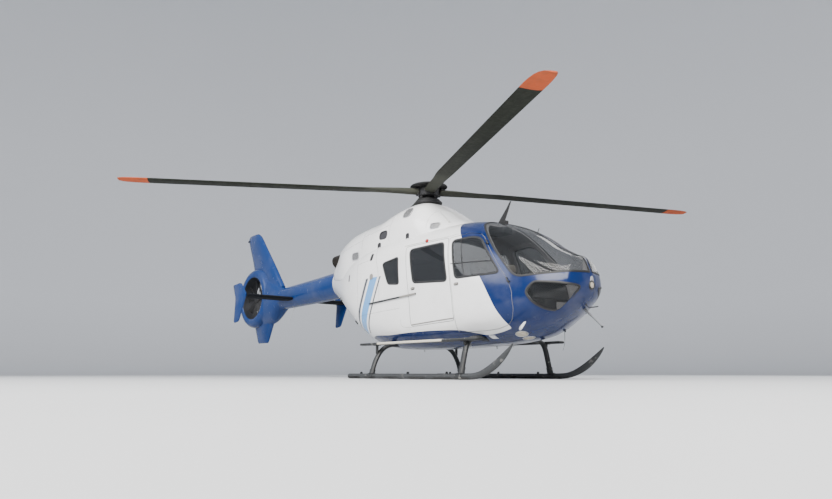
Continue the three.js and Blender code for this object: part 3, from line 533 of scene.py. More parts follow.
def plain_paint(name, colour, dirt=0.12, coat=0.8, shine=0.5):
    graph = Graph(name)
    gloss_finish(graph, colour, dirt, coat, shine)
    return graph.material


def boundary(graph, value, points):
    """A smooth line given as [from, to] pairs, read at a value. All numbers lie within -2 to 4."""
    low, span = -2.0, 6.0
    made = graph.node("ShaderNodeFloatCurve")
    curve = made.mapping.curves[0]
    scaled = [((a - low) / span, (b - low) / span) for a, b in sorted(points)]
    curve.points[0].location, curve.points[1].location = scaled[0], scaled[-1]
    for location in scaled[1:-1]:
        curve.points.new(*location)
    made.mapping.update()
    graph.feed(made.inputs["Value"], graph.math("DIVIDE", graph.math("SUBTRACT", value, low), span))
    return graph.math("ADD", graph.math("MULTIPLY", made.outputs[0], span), low)


NAVY_EDGE = [(0.55, 2.35), (0.72, 2.33), (0.824, 2.285), (0.954, 2.216), (1.163, 2.105), (1.38, 1.981),
    (1.8, 1.70), (2.149, 1.45), (2.5, 1.2)]
NAVY_SILL = [(-1.9, 0.30), (-1.25, 0.42), (-0.9, 0.66), (-0.145, 0.706), (1.151, 0.721), (1.5, 0.70),
    (1.75, 0.65), (1.886, 0.624), (2.07, 0.642), (2.203, 0.666), (2.4, 0.72)]
BANDS = [(-1.00, -0.93, GREY), (-0.87, -0.66, LIGHT_BLUE), (-0.60, -0.56, GREY)]


def livery(name):
    """White sides, navy nose and belly, and three slanting bands behind the side windows."""
    graph = Graph(name)
    split = graph.node("ShaderNodeSeparateXYZ", Vector=graph.coordinates)
    x = graph.math("SUBTRACT", split.outputs["X"], float(ORIGIN[0]))
    z = split.outputs["Z"]
    front = graph.math("MULTIPLY", graph.math("SUBTRACT", boundary(graph, z, NAVY_EDGE), x), 0.82)
    sill = graph.math("SUBTRACT", z, boundary(graph, x, NAVY_SILL))
    edge = graph.math("SMOOTH_MIN", front, sill, 0.04)
    white_share = graph.ramp(edge, -0.0015, 0.0015)
    colour = graph.mix(white_share, NAVY, WHITE)
    lean = graph.math("ADD", x, graph.math("MULTIPLY", graph.math("SUBTRACT", z, 1.25), -0.45))
    height = graph.math("MINIMUM", graph.ramp(z, 0.76, 0.762), graph.ramp(z, 1.70, 1.702, 1.0, 0.0))
    for start, end, band in BANDS:
        inside = graph.math("MINIMUM", graph.ramp(lean, start, start + 0.002),
                            graph.ramp(lean, end, end + 0.002, 1.0, 0.0))
        colour = graph.mix(graph.math("MULTIPLY", inside, height), colour, band)
    gloss_finish(graph, colour, coat=graph.ramp(white_share, 0.0, 1.0, 0.3, 0.8),
                 shine=graph.ramp(white_share, 0.0, 1.0, 0.25, 0.5))
    return graph.material


def worn_black(name, colour, bare, wear=0.62, roughness=(0.35, 0.6)):
    """A black coat rubbed through to a second colour in places."""
    graph = Graph(name)
    rub = graph.ramp(graph.noise(14.0, 10.0), wear, wear + 0.08)
    graph.set(Base_Color=graph.mix(rub, colour, bare),
              Roughness=graph.ramp(graph.noise(30.0), 0.3, 0.7, *roughness))
    graph.bump(graph.noise(120.0), 0.15, 0.002)
    return graph.material


def glazing(name, tint, least, most=0.95):
    """Tinted acrylic: clear when looked at squarely, bright at a slant."""
    graph = Graph(name)
    facing = graph.node("ShaderNodeLayerWeight", Blend=0.35).outputs["Facing"]
    graph.set(Base_Color=tint, Roughness=0.03, IOR=1.49,
              Alpha=graph.ramp(graph.math("POWER", facing, 3.0), 0.0, 1.0, least, most))
    return graph.material


def matt(name, colour, roughness=0.8, grain=200.0, strength=0.2, spread=0.12, shine=0.5):
    """Moulded plastic, rubber or cloth backing with a fine grain."""
    graph = Graph(name)
    shade = graph.ramp(graph.noise(grain / 8), 0.3, 0.7, 1 - spread, 1 + spread)
    tone = graph.node("ShaderNodeMix", {"data_type": "RGBA", "blend_type": "MULTIPLY"})
    graph.feed(tone.inputs[0], 1.0)
    graph.feed(tone.inputs[6], colour)
    grey = graph.node("ShaderNodeCombineColor", Red=shade, Green=shade, Blue=shade)
    graph.feed(tone.inputs[7], grey.outputs[0])
    graph.set(Base_Color=tone.outputs[2], Roughness=roughness, Specular_IOR_Level=shine)
    graph.bump(graph.noise(grain), strength, 0.001)
    return graph.material


def metal(name, colour, roughness=(0.25, 0.45), tint=None, wear=0.5):
    graph = Graph(name)
    base = colour if tint is None else graph.mix(graph.ramp(graph.noise(6.0, 6.0), wear, wear + 0.2),
        colour, tint)
    graph.set(Base_Color=base, Metallic=1.0,
              Roughness=graph.ramp(graph.noise(40.0, 4.0, (1, 1, 6)), 0.3, 0.7, *roughness))
    graph.bump(graph.noise(60.0), 0.08, 0.002)
    return graph.material


body_paint = livery("body_livery")
white_paint = plain_paint("white_coachwork", WHITE)
tail_paint = plain_paint("tail_blue", MID_BLUE, 0.08, 0.1, 0.2)
dark_paint = matt("stabiliser_black", rgb(0.004, 0.005, 0.008), 0.85, 200.0, 0.05, shine=0.15)
# Near black as painted shade inside the fan duct, for the duct's inner wall and the stator.
duct_shade_black = matt("duct_painted_shade", rgb(0.006, 0.007, 0.010), 0.6, 200.0, 0.05)
gear_black = worn_black("gear_black", rgb(0.012, 0.013, 0.014), rgb(0.16, 0.16, 0.15))
head_black = worn_black("rotor_head_black", rgb(0.008, 0.008, 0.009), rgb(0.05, 0.05, 0.05), 0.68, (0.6, 0.8))
grip_pale = worn_black("step_grip", rgb(0.55, 0.52, 0.44), rgb(0.08, 0.08, 0.07), 0.66, (0.7, 0.9))
skid_coat = worn_black("skid_coating", rgb(0.030, 0.032, 0.034), rgb(0.12, 0.12, 0.115), 0.6)
rubber = matt("black_rubber", rgb(0.012, 0.012, 0.013), 0.55, 300.0)
seam_dark = matt("seam_shadow", rgb(0.03, 0.03, 0.035), 0.6, 300.0)
trim = matt("cabin_trim", rgb(0.36, 0.36, 0.37), 0.7, 250.0)
dark_trim = matt("dark_trim", rgb(0.018, 0.018, 0.02), 0.6, 250.0)
glass = glazing("grey_acrylic", rgb(0.02, 0.022, 0.025), 0.60)
clear_glass = glazing("clear_acrylic", rgb(0.02, 0.022, 0.024), 0.30)
rear_glass = glazing("rear_acrylic", rgb(0.02, 0.022, 0.025), 0.75)
alloy = metal("alloy", rgb(0.55, 0.56, 0.58))
shoe_metal = metal("shoe_steel", rgb(0.075, 0.075, 0.075), (0.4, 0.65), rgb(0.03, 0.03, 0.03))
hot_metal = metal("exhaust_metal", rgb(0.05, 0.045, 0.04), (0.45, 0.7), rgb(0.02, 0.016, 0.014))


def grille(name, colour, pitch=16.0):
    """Woven wire over painted shade: the gaps are near black, as the shade of a hollow behind it."""
    graph = Graph(name)
    split = graph.node("ShaderNodeSeparateXYZ", Vector=graph.coordinates)
    wires = []
    for axis in ("X", "Z"):
        phase = graph.math("MULTIPLY", split.outputs[axis], 2000 * math.pi / pitch)
        wires.append(graph.math("MULTIPLY", graph.math("ADD", graph.math("SINE", phase), 1.0), 0.5))
    height = graph.math("MAXIMUM", *wires)
    share = graph.ramp(height, 0.55, 0.85)
    # The gaps between the wires are painted shade, near black, as if a dark hollow lay behind them.
    graph.set(Base_Color=graph.mix(share, rgb(0.004, 0.004, 0.004), colour),
              Metallic=graph.ramp(share, 0, 1, 0, 0.9),
              Roughness=graph.ramp(graph.noise(50.0), 0.3, 0.7, 0.4, 0.6))
    graph.bump(height, 0.6, 0.004)
    return graph.material


def woven(name, colour, threads=700.0):
    """Cloth with crossing threads, a soft sheen and faint blotches."""
    graph = Graph(name)
    split = graph.node("ShaderNodeSeparateXYZ", Vector=graph.coordinates)
    waves = []
    for axis in ("X", "Y"):
        slant = graph.math("ADD", split.outputs[axis], split.outputs["Z"])
        waves.append(graph.math("SINE", graph.math("MULTIPLY", slant, threads * 2)))
    weave = graph.math("MULTIPLY", *waves)
    tone = graph.mix(graph.ramp(graph.noise(7.0), 0.35, 0.7), colour,
        tuple(c * 0.72 for c in colour[:3]) + (1.0,))
    graph.set(Base_Color=graph.mix(graph.ramp(weave, -1, 1, 0.0, 0.3), tone, rgb(0.02, 0.02, 0.02)),
        Roughness=0.85, Sheen_Weight=0.35, Sheen_Roughness=0.5)
    graph.bump(graph.math("ADD", weave, graph.noise(260.0)), 0.25, 0.002)
    return graph.material


def blade_finish(name):
    """Grey-green blades, rubbed in patches, with orange-red tips."""
    graph = Graph(name)
    split = graph.node("ShaderNodeSeparateXYZ", Vector=graph.coordinates)
    x = graph.math("SUBTRACT", split.outputs["X"], float(ORIGIN[0]))
    reach = graph.math("SQRT", graph.math("ADD", graph.math("POWER", x, 2.0),
                                          graph.math("POWER", split.outputs["Y"], 2.0)))
    rub = graph.ramp(graph.noise(10.0, 8.0), 0.5, 0.7, 0.0, 0.5)
    coat = graph.mix(rub, rgb(0.016, 0.018, 0.013), rgb(0.034, 0.036, 0.028))
    cuff = graph.mix(graph.noise(12.0), rgb(0.026, 0.028, 0.021), rgb(0.045, 0.047, 0.038))
    tip = graph.mix(rub, rgb(0.48, 0.09, 0.03), rgb(0.25, 0.07, 0.035))
    colour = graph.mix(graph.ramp(reach, 1.02, 1.26), cuff, coat)
    colour = graph.mix(graph.ramp(reach, 4.645, 4.65), colour, tip)
    graph.set(Base_Color=colour, Roughness=graph.ramp(graph.noise(24.0), 0.3, 0.7, 0.68, 0.82),
              Specular_IOR_Level=0.2)
    graph.bump(graph.noise(90.0), 0.12, 0.002)
    return graph.material


blade_paint = blade_finish("blade_coating")
lamp_glass = glazing("lamp_glass", rgb(0.78, 0.71, 0.58), 0.45, 0.8)
reflector = metal("lamp_reflector", rgb(0.80, 0.74, 0.62), (0.12, 0.3))
probe_grey = matt("probe_grey", rgb(0.11, 0.115, 0.125), 0.45, 200.0, 0.05)
rail_grey = matt("rail_grey", rgb(0.24, 0.23, 0.21), 0.5, 200.0, 0.05)
lamp_bulb = matt("lamp_bulb", rgb(0.85, 0.84, 0.78), 0.3, 100.0, 0.05)
grille_metal = grille("intake_grille", rgb(0.42, 0.42, 0.42))
seat_cloth = woven("seat_cloth", rgb(0.40, 0.37, 0.31))
dark_cloth = woven("dark_seat_cloth", rgb(0.055, 0.055, 0.06))
belt_web = woven("belt_webbing", rgb(0.03, 0.03, 0.034), 900.0)
mattress_skin = matt("mattress_cover", rgb(0.50, 0.16, 0.04), 0.5, 160.0, 0.12)
screen_glass = plain_paint("screen_glass", rgb(0.012, 0.02, 0.026), 0.02)
red_lens = glazing("red_lens", rgb(0.34, 0.012, 0.008), 0.85, 1.0)
pale_plastic = matt("pale_plastic", rgb(0.62, 0.62, 0.60), 0.45, 220.0, 0.1)

# Stage, camera and lights


CAMERA_AZIMUTH = math.radians(38.35)
CAMERA_HEIGHT = 0.1
CAMERA_DISTANCE = 9.69
CAMERA_LENS = 28.5
CAMERA_NEAR = (2550, 0, 2060)
CAMERA_AIM = (-350, 0, 2250)
FLOOR_RADIUS = 22.0
WALL_CURVE = 14
WALL_TOP = 40.0


def make_stage():
    """A pale floor that rises into a pale wall far away on every side, made paler from 18 m out as painted
    light for the wall.
    """
    profile = [(0.01, 0.0), (FLOOR_RADIUS, 0.0)]
    for degrees in range(10, 91, 10):
        angle = math.radians(degrees)
        profile.append((FLOOR_RADIUS + WALL_CURVE * math.sin(angle),
            WALL_CURVE - WALL_CURVE * math.cos(angle)))
    profile.append((FLOOR_RADIUS + WALL_CURVE, WALL_TOP))
    points, faces = turned([(r * 1000, z * 1000) for r, z in profile], (0, 0, 0), (0, 0, 1), 96)
    faces = [face for face in faces if len(face) == 4]
    mesh = bpy.data.meshes.new("floor")
    mesh.from_pydata((np.asarray(points) / 1000).tolist(), [], faces)
    mesh.shade_smooth()
    floor = bpy.data.objects.new("floor", mesh)
    bpy.context.scene.collection.objects.link(floor)
    graph = Graph("pale_floor")
    split = graph.node("ShaderNodeSeparateXYZ", Vector=graph.coordinates)
    reach = graph.math("SQRT", graph.math("ADD", graph.math("POWER", split.outputs["X"], 2.0),
                                          graph.math("POWER", split.outputs["Y"], 2.0)))
    pale = graph.mix(graph.noise(0.6), rgb(0.48, 0.49, 0.50), rgb(0.52, 0.53, 0.54))
    # Paler from 18 m out: painted light that evens the wall, which gets less light, with the floor.
    graph.set(Base_Color=graph.mix(graph.ramp(reach, 18.0, 32.0), pale, rgb(0.80, 0.81, 0.83)), Roughness=0.7)
    mesh.materials.append(graph.material)


def area_light(name, location, target, size, power, colour=(1, 1, 1)):
    data = bpy.data.lights.new(name, "AREA")
    data.shape = "RECTANGLE"
    data.size, data.size_y = size
    data.energy = power
    data.color = colour
    light = bpy.data.objects.new(name, data)
    light.location = location
    direction = Vector(target) - Vector(location)
    light.rotation_euler = direction.to_track_quat("-Z", "Y").to_euler()
    bpy.context.scene.collection.objects.link(light)


def make_camera():
    """At floor level on the photograph's azimuth and at its distance from the nose."""
    target = place(CAMERA_NEAR)
    flat = math.sqrt(CAMERA_DISTANCE ** 2 - (target[2] - CAMERA_HEIGHT) ** 2)
    data = bpy.data.cameras.new("camera")
    data.lens = CAMERA_LENS
    data.sensor_width = 36.0
    data.clip_end = 200
    camera = bpy.data.objects.new("camera", data)
    camera.location = (target[0] + flat * math.sin(CAMERA_AZIMUTH),
        target[1] - flat * math.cos(CAMERA_AZIMUTH), CAMERA_HEIGHT)
    aim = Vector(place(CAMERA_AIM).tolist())
    camera.rotation_euler = (aim - camera.location).to_track_quat("-Z", "Y").to_euler()
    bpy.context.scene.collection.objects.link(camera)
    bpy.context.scene.camera = camera


make_stage()
make_camera()
area_light("key", (9, -9, 11), (0.5, 0, 1.5), (12, 12), 6700, (1.0, 0.97, 0.93))
area_light("fill", (-5, -13, 9), (-3, 0, 1.8), (9, 9), 1500, (0.93, 0.96, 1.0))
area_light("far_side", (3, 12, 9), (0, 0, 1.5), (9, 9), 1100)
world = bpy.data.worlds.new("studio")
bpy.context.scene.world = world
world.use_nodes = True
world.node_tree.nodes["Background"].inputs["Color"].default_value = (0.78, 0.84, 0.95, 1)
world.node_tree.nodes["Background"].inputs["Strength"].default_value = 0.6


# Cabin shell, doors and glass

DOOR_CORNER = 45
SEAL_HEIGHT = 5
WINDOW_CORNER = 70
BAY = {"front": -580, "back": -1700, "half": 400, "floor": 2160}
outer = section_loft(OUTSIDE)
below_skin = section_loft(HULL, WALL, 30, 4)
below_doors = section_loft(HULL, WALL + DOOR_GAP, 30, 4)


def solid(name, shape, keep=None, cuts=()):
    """A bare object of a shape, cut to size."""
    obj = joined(name, shape, [], None)
    if keep is not None:
        carve(obj, keep, "INTERSECT")
    for cut in cuts:
        carve(obj, cut)
    return obj


def shape_of(obj):
    """The points in millimetres and faces of an object, which is then removed."""
    mesh = obj.data
    points = (np.array([v.co[:] for v in mesh.vertices]) - ORIGIN) * 1000
    faces = [tuple(p.vertices) for p in mesh.polygons]
    bpy.data.objects.remove(obj)
    return points, faces


def corner_prism(outline, radius, side, near):
    return prism(rounded(outline, radius), side, near)


def rims(obj, skin, out=0.0, least=300.0, spacing=14.0):
    """The edges of an object's outside faces, as evenly spaced loops with normals."""
    mesh = obj.data
    following, corners = {}, [v.co[:] for v in mesh.vertices]
    seen = {}
    for polygon in mesh.polygons:
        if polygon.material_index == 0:
            vertices = list(polygon.vertices)
            for a, b in zip(vertices, vertices[1:] + vertices[:1]):
                seen[(a, b)] = True
    for a, b in seen:
        if (b, a) not in seen:
            following[a] = b
    loops = []
    while following:
        start, current = next(iter(following.items()))
        loop = []
        while current in following:
            loop.append(corners[current])
            current = following.pop(current)
        points = (np.array(loop) - ORIGIN) * 1000
        closed = np.vstack([points, points[:1]])
        run = np.concatenate([[0], np.cumsum(np.linalg.norm(np.diff(closed, axis=0), axis=1))])
        if run[-1] < least:
            continue
        at = np.linspace(0, run[-1], max(12, int(run[-1] / spacing)), endpoint=False)
        even = np.column_stack([np.interp(at, run, closed[:, i]) for i in range(3)])
        normals = skin.normal(even)
        loops.append((even + out * normals, normals))
    return loops


def edging(name, obj, skin, width, height, material, body="airframe", out=0.0, least=300.0):
    """A strip of rubber or a dark joint along the rim of a piece."""
    strips = [ribbon(points, normals, width, height) for points, normals in rims(obj, skin, out, least)]
    return joined(name, merged(strips), material, body)


def line_strip(name, outline, side, width, height, material, body="airframe", skin=hull_skin, closed=False):
    points, normals = draped(outline, side, skin, closed)
    return joined(name, ribbon(points, normals, width, height, closed), material, body)


SKINS = {"hull": (OUTSIDE, hull_skin), "cowl": (COWL, cowl_skin)}
skin_layers = {}


def skin_layer(rows_name, inset):
    """A skin moved in by an inset, made once."""
    key = (rows_name, inset)
    if key not in skin_layers:
        skin_layers[key] = section_loft(SKINS[rows_name][0], inset, 40, 6)
    return skin_layers[key]


def fitted(name, keep, out, depth, material, body="airframe", rows_name="hull", reach=0.9):
    """A plate that follows a skin inside a closed shape, from out above it to depth below it."""
    obj = solid(name, skin_layer(rows_name, -out), keep, [skin_layer(rows_name, depth)])
    polish(obj, SKINS[rows_name][1], material, material, reach)
    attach(obj, body)
    return obj


def pad(name, outline, side, out, depth, material, body="airframe", rows_name="hull", near=0.0):
    return fitted(name, prism(outline, side, near), out, depth, material, body, rows_name)


def plate(x, z, half_x, half_z, corner):
    outline = [(x - half_x, z - half_z), (x + half_x, z - half_z), (x + half_x, z + half_z),
        (x - half_x, z + half_z)]
    return rounded(outline, corner)


def glazed(node, outline, side, near, material, seal_width, body="airframe"):
    """A pane in its opening, with a rubber seal round it."""
    obj = solid(f"{node}_glass", section_loft(OUTSIDE, GLASS_INSET),
        prism(shrunk(outline, SEAT_GAP), side, near + SEAT_GAP),
        [section_loft(OUTSIDE, GLASS_INSET + GLASS)])
    polish(obj, hull_skin, material, material, 0.95)
    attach(obj, body)
    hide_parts(node)
    edging(f"{node}_seal", obj, hull_skin, seal_width, SEAL_HEIGHT, rubber, body, GLASS_INSET)


def dressed(obj, skin, outside, inside, nodes, body="airframe"):
    polish(obj, skin, outside, inside)
    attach(obj, body)
    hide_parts(*nodes)
    return obj


def finished(obj, material, smooth, nodes):
    obj.data.materials.clear()
    obj.data.materials.append(material)
    obj.data.shade_smooth()
    obj.data.set_sharp_from_angle(angle=math.radians(smooth))
    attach(obj, "airframe")
    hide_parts(*nodes)


cabin_floor = block(-2250, 3180, -FAR, FAR, FLOOR, CEILING)
under_bay = block(-2250, BAY["front"] + WALL, -FAR, FAR, BAY["floor"] - WALL, CEILING + 5)
bay_hole = block(BAY["back"], BAY["front"], -BAY["half"], BAY["half"], BAY["floor"], CEILING + 300)
room = solid("room", section_loft(HULL[1:-1], WALL, 30, 4), cabin_floor, [under_bay])
shell = solid("cabin_skin", outer, None, [shape_of(room), bay_hole])
FIXED_GLASS = [("windscreen", WINDSCREEN, CENTRE_POST, 60, clear_glass),
               ("chin_window", CHIN_WINDOW, CHIN_START, 50, clear_glass),
               ("rear_side_window", REAR_WINDOW, SIDE_START, 50, rear_glass)]
for word, side in SIDES:
    for name, outline, near, radius, material in FIXED_GLASS:
        corners = rounded(outline, radius)
        carve(shell, prism(corners, side, near))
        glazed(f"{name}_{word}", corners, side, near, material, 30)
    for outline, near, gap in ((CREW_DOOR, SIDE_START, DOOR_GAP), (SLIDING_DOOR, SIDE_START, SEAT_GAP),
                               (CLAMSHELL, -DOOR_GAP, DOOR_GAP)):
        cut = solid("cut", corner_prism(shrunk(outline, -gap / 2), DOOR_CORNER, side, near), None,
                    [below_doors if gap == DOOR_GAP else below_skin])
        carve(shell, shape_of(cut))
    doors = [("crew_door", CREW_DOOR, SIDE_START, DOOR_GAP, CREW_WINDOW, f"{word}_crew_door"),
             ("sliding_door", SLIDING_DOOR, SIDE_START, SEAT_GAP, SLIDING_WINDOW, "airframe"),
             ("clamshell_door", CLAMSHELL, DOOR_GAP / 2, DOOR_GAP, None, f"{word}_clamshell")]
    for name, outline, near, gap, window, body in doors:
        cuts = [below_skin]
        if window is not None:
            cuts.append(corner_prism(window, WINDOW_CORNER, side, near))
        panel = solid(f"{name}_{word}_skin", outer,
                      corner_prism(shrunk(outline, gap / 2), DOOR_CORNER, side, near), cuts)
        dressed(panel, hull_skin, body_paint, trim, [f"{name}_{word}"], body)
        if window is not None:
            glazed(f"{name}_window_{word}", rounded(window, WINDOW_CORNER), side, SIDE_START, glass, 34, body)
    line_strip(f"sliding_door_joint_{word}", rounded(SLIDING_DOOR, DOOR_CORNER), side, 7, 1.0, seam_dark,
        closed=True)

# Lamps: [name, centre, radius, direction that they face]
LAMPS = [("landing_lamp_outer", (2365, -369, 629), 90, (0.45, -0.35, -1)),
         ("landing_lamp_inner", (2327, -179, 583), 90, (0.4, -0.15, -1))]
for name, centre, radius, facing in LAMPS:
    def tube(r, back=-150, front=150):
        return turned([(r, back), (r, front)], centre, facing, 64)

    pocket = solid("pocket", tube(radius), None, [skin_layer("hull", 24)])
    carve(shell, shape_of(pocket))
    fitted(f"{name}_reflector", tube(radius - 0.3), -19, 24, reflector, reach=0.8)
    lens = fitted(f"{name}_lens", tube(radius - 5), 4, 0.5, lamp_glass)
    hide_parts(name)
    edging(f"{name}_bezel", lens, hull_skin, 14, 5, alloy)
    out = hull_skin.normal(centre)[0]
    joined(f"{name}_bulb", turned([(0.01, -4), (9, -6), (12, -12), (10, -20), (0.01, -20)], centre, out,
        24), lamp_bulb)

NOSE_LAMP_Z = 1250
NOSE_LAMP_FRONT = 3298
carve(shell, turned([(62.3, 3214.7), (62.3, 3320)], (0, 0, NOSE_LAMP_Z), (1, 0, 0), 64))
NOSE_LAMP = [
    ("ring", [(62, -83), (62, -10), (58, -2), (50, 0), (44, -4), (42, -14), (0.01, -14)], gear_black),
    ("reflector", [(41.5, -6), (30, -11), (14, -13), (0.01, -13.5), (0.01, -13.8), (41.5, -13.8)], reflector),
    ("lens", [(41, -6), (30, -3), (14, -1), (0.01, -0.5), (0.01, -3), (41, -7)], lamp_glass),
]
for name, profile, material in NOSE_LAMP:
    joined(f"nose_lamp_{name}", turned(profile, (NOSE_LAMP_FRONT, 0, NOSE_LAMP_Z), (1, 0, 0), 64), material,
        replaces=["nose_lamp"] if name == "ring" else ())
dressed(shell, hull_skin, body_paint, trim, ["cabin_shell"])


# Hinges of the crew and clamshell doors

KNUCKLE_OUT = 24
KNUCKLE_RADIUS = 11
LUG_AT = 34
FOOT_DEPTH = 44
ARM_LENGTH = {"crew": 34, "clamshell": 56}


def hinge_pieces(points, side, joint_name, door_body, word, kind):
    joint = next(j for j in frame["joints"] if j["name"] == joint_name)
    start = (np.array(joint["pos_m"]) - ORIGIN) * 1000
    axis = np.array(joint["axis"], float)
    axis /= np.linalg.norm(axis)
    door, fixed = [], []
    for x, z in points:
        skin_point = hull_skin.side(x, z, side)[0]
        normal = hull_skin.normal(skin_point)[0]
        centre = start + axis * np.dot(skin_point + KNUCKLE_OUT * normal - start, axis)
        toward = np.cross(-normal, axis) * side
        toward /= np.linalg.norm(toward)
        door.append(turned([(KNUCKLE_RADIUS, -25), (KNUCKLE_RADIUS, 25)], centre, axis, 20))
        door.append(sweep([centre, centre + toward * ARM_LENGTH[kind] - normal * FOOT_DEPTH], 17, 8,
            across=axis))
        for way in (-1, 1):
            middle = centre + axis * way * LUG_AT
            fixed.append(turned([(KNUCKLE_RADIUS, -8.4), (KNUCKLE_RADIUS, 9)], middle, axis * way, 20))
            fixed.append(sweep([middle, middle - toward * 22 - normal * FOOT_DEPTH], 7, 7, across=axis))
    joined(f"{kind}_hinge_arms_{word}", merged(door), gear_black, door_body)
    joined(f"{kind}_hinge_lugs_{word}", merged(fixed), gear_black)


for word, side in SIDES:
    hinge_pieces(CREW_HINGES, side, f"{word}_crew_door_hinge", f"{word}_crew_door", word, "crew")
    hinge_pieces(CLAMSHELL_HINGES, side, f"{word}_clamshell_hinge", f"{word}_clamshell", word, "clamshell")

# Cowlings over the gearbox and the engines, and the exhausts

COWL_SPLIT = -350
COWL_WALL = 28
MAST_HOLE = 150
EXHAUST_RADIUS = 120
on_roof = section_loft(HULL, -SEAT_GAP)
cowl_outer = section_loft(COWL)
cowl_inner = section_loft(COWL, COWL_WALL, 30, 4)
mast_hole = turned([(MAST_HOLE, 2385), (MAST_HOLE, 3300)], (0, 0, 0), (0, 0, 1))
front_cowl = solid("mast_cowling_skin", cowl_outer, block(COWL_SPLIT, 3180, -FAR, FAR, 0, 3500),
                   [cowl_inner, on_roof, mast_hole])
rear_cowl = solid("engine_cowling_skin", cowl_outer, block(-2600, COWL_SPLIT, -FAR, FAR, 0, 3500),
                  [cowl_inner, on_roof])
for word, side in SIDES:
    start = np.array([-1900, side * 260, 2310.0])
    end = np.array([-2370, side * 345, 2232.0])
    axis = (end - start) / np.linalg.norm(end - start)
    length = np.linalg.norm(end - start)
    carve(rear_cowl, turned([(EXHAUST_RADIUS + 1, 0), (EXHAUST_RADIUS + 1, 1.4 * length)], start, axis, 64))
    pipe = solid(f"exhaust_{word}_pipe", turned([(EXHAUST_RADIUS, 0), (EXHAUST_RADIUS, length - 6),
                                                 (EXHAUST_RADIUS - 2, length)], start, axis, 64), None,
                 [on_roof, turned([(EXHAUST_RADIUS - 8, 0.3 * length), (EXHAUST_RADIUS - 8, 1.4 * length)],
                                  start, axis, 64)])
    finished(pipe, hot_metal, 40, [f"exhaust_{word}"])
# Openings in the cowling, as [x, z, half length, half height] seen from the side
OPENINGS = [(-520, 2455, 110, 74), (-612, 2262, 42, 66), (140, 2310, 36, 72)]
for _, side in SIDES:
    for x, z, half_x, half_z in OPENINGS:
        pocket = solid("pocket", prism(plate(x, z, half_x, half_z, min(half_x, half_z) - 1), side), None,
                       [section_loft(COWL, 14, 30, 4)])
        carve(front_cowl if x > COWL_SPLIT else rear_cowl, shape_of(pocket))
# Faces off the skin take the near-black seam shadow material: painted shade in the opening pockets, and a
# dark joint where the two cowlings meet.
dressed(front_cowl, cowl_skin, white_paint, seam_dark, ["mast_cowling"])
dressed(rear_cowl, cowl_skin, white_paint, seam_dark, ["engine_cowling"])
# Closes the cowling's rear end above the boom, just inside its rim
rear_panel = solid("cowling_rear_panel", section_loft(COWL, COWL_WALL + 0.3, 30, 4),
                   block(-2556, -2546, -FAR, FAR, 0, 3500), [on_roof])
rear_panel.data.materials.clear()
rear_panel.data.materials.append(white_paint)
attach(rear_panel, "airframe")

# Tail boom, fin, shroud, stator and fan

FIN = [(2050, -5040, -6500, 200), (2600, -5530, -6590, 170), (3100, -5990, -6820, 130),
       (3400, -6265, -6960, 110), (3505, -6430, -6900, 60)]
VENTRAL = [(1300, -5460, -6480, 150), (860, -5680, -6260, 90), (780, -5740, -6200, 50)]
FAN_CENTRE = np.array([-6290.0, 0, 1870])
DUCT_RADIUS = 505
FAN_BLADES = 10
STATOR_VANES = 8
SHROUD = [(505, -150), (508, -176), (522, -188), (545, -194), (590, -195), (630, -185), (665, -162),
          (693, -126), (710, -90), (719, -50), (722, 0)]


def foil(chord, thickness, count=28):
    """An aerofoil as [along the chord, across it], with its nose forward at a third."""
    share = (1 - np.cos(np.linspace(0, math.pi, count))) / 2
    half = 5 * (0.2969 * np.sqrt(share) - 0.126 * share - 0.3516 * share ** 2 + 0.2843 * share ** 3
                - 0.1015 * share ** 4)
    along = (0.33 - share) * chord
    upper = np.column_stack([along, half * thickness])
    return np.vstack([upper, upper[1:-1][::-1] * (1, -1)])


def fan_spokes(count, first=0.0):
    """Directions outwards from the fan's axis, evenly turned, each with the one square to it."""
    for i in range(count):
        angle = 2 * math.pi * i / count + first
        radial = np.array([math.cos(angle), 0, -math.sin(angle)])
        yield radial, np.array([math.sin(angle), 0, math.cos(angle)])


def fin_loft(rows, steps=5):
    rings = []
    for z, front, back, thickness in smooth_rows(rows, steps):
        chord = front - back
        rings.append([(back + 0.67 * chord + c, t, z) for c, t in foil(chord, thickness)])
    return loft(rings)


boom = solid("tail_boom_skin", section_loft(BOOM, 0, 32, 6))
dressed(boom, boom_skin, tail_paint, dark_trim, ["tail_boom"])

duct = turned([(DUCT_RADIUS + 20, -FAR), (DUCT_RADIUS + 20, FAR)], FAN_CENTRE, (0, 1, 0), 128)
tail = solid("tail_fin_skin", section_loft(TAIL_FAIRING, 0, 32, 8))
carve(tail, fin_loft(FIN), "UNION")
carve(tail, fin_loft(VENTRAL), "UNION")
carve(tail, duct)
shroud_profile = SHROUD + [(r, -y) for r, y in SHROUD[-2::-1]]
ring_points, ring_faces = turned(shroud_profile, FAN_CENTRE, (0, 1, 0), 128)
count = len(shroud_profile)
ring_faces = [face for face in ring_faces if len(face) == 4]
ring_faces += [((count - 1) * 128 + k, (count - 1) * 128 + (k + 1) % 128, (k + 1) % 128, k)
    for k in range(128)]
carve(tail, (ring_points, ring_faces), "UNION")
finished(tail, tail_paint, 32, ["tail_fin"])
# The duct's inner wall takes the near-black duct material: painted shade.
tail.data.materials.append(duct_shade_black)
for polygon in tail.data.polygons:
    middle = (np.array(polygon.center) - ORIGIN) * 1000 - FAN_CENTRE
    if math.hypot(middle[0], middle[2]) < DUCT_RADIUS + 3 and abs(middle[1]) < 170:
        polygon.material_index = 1

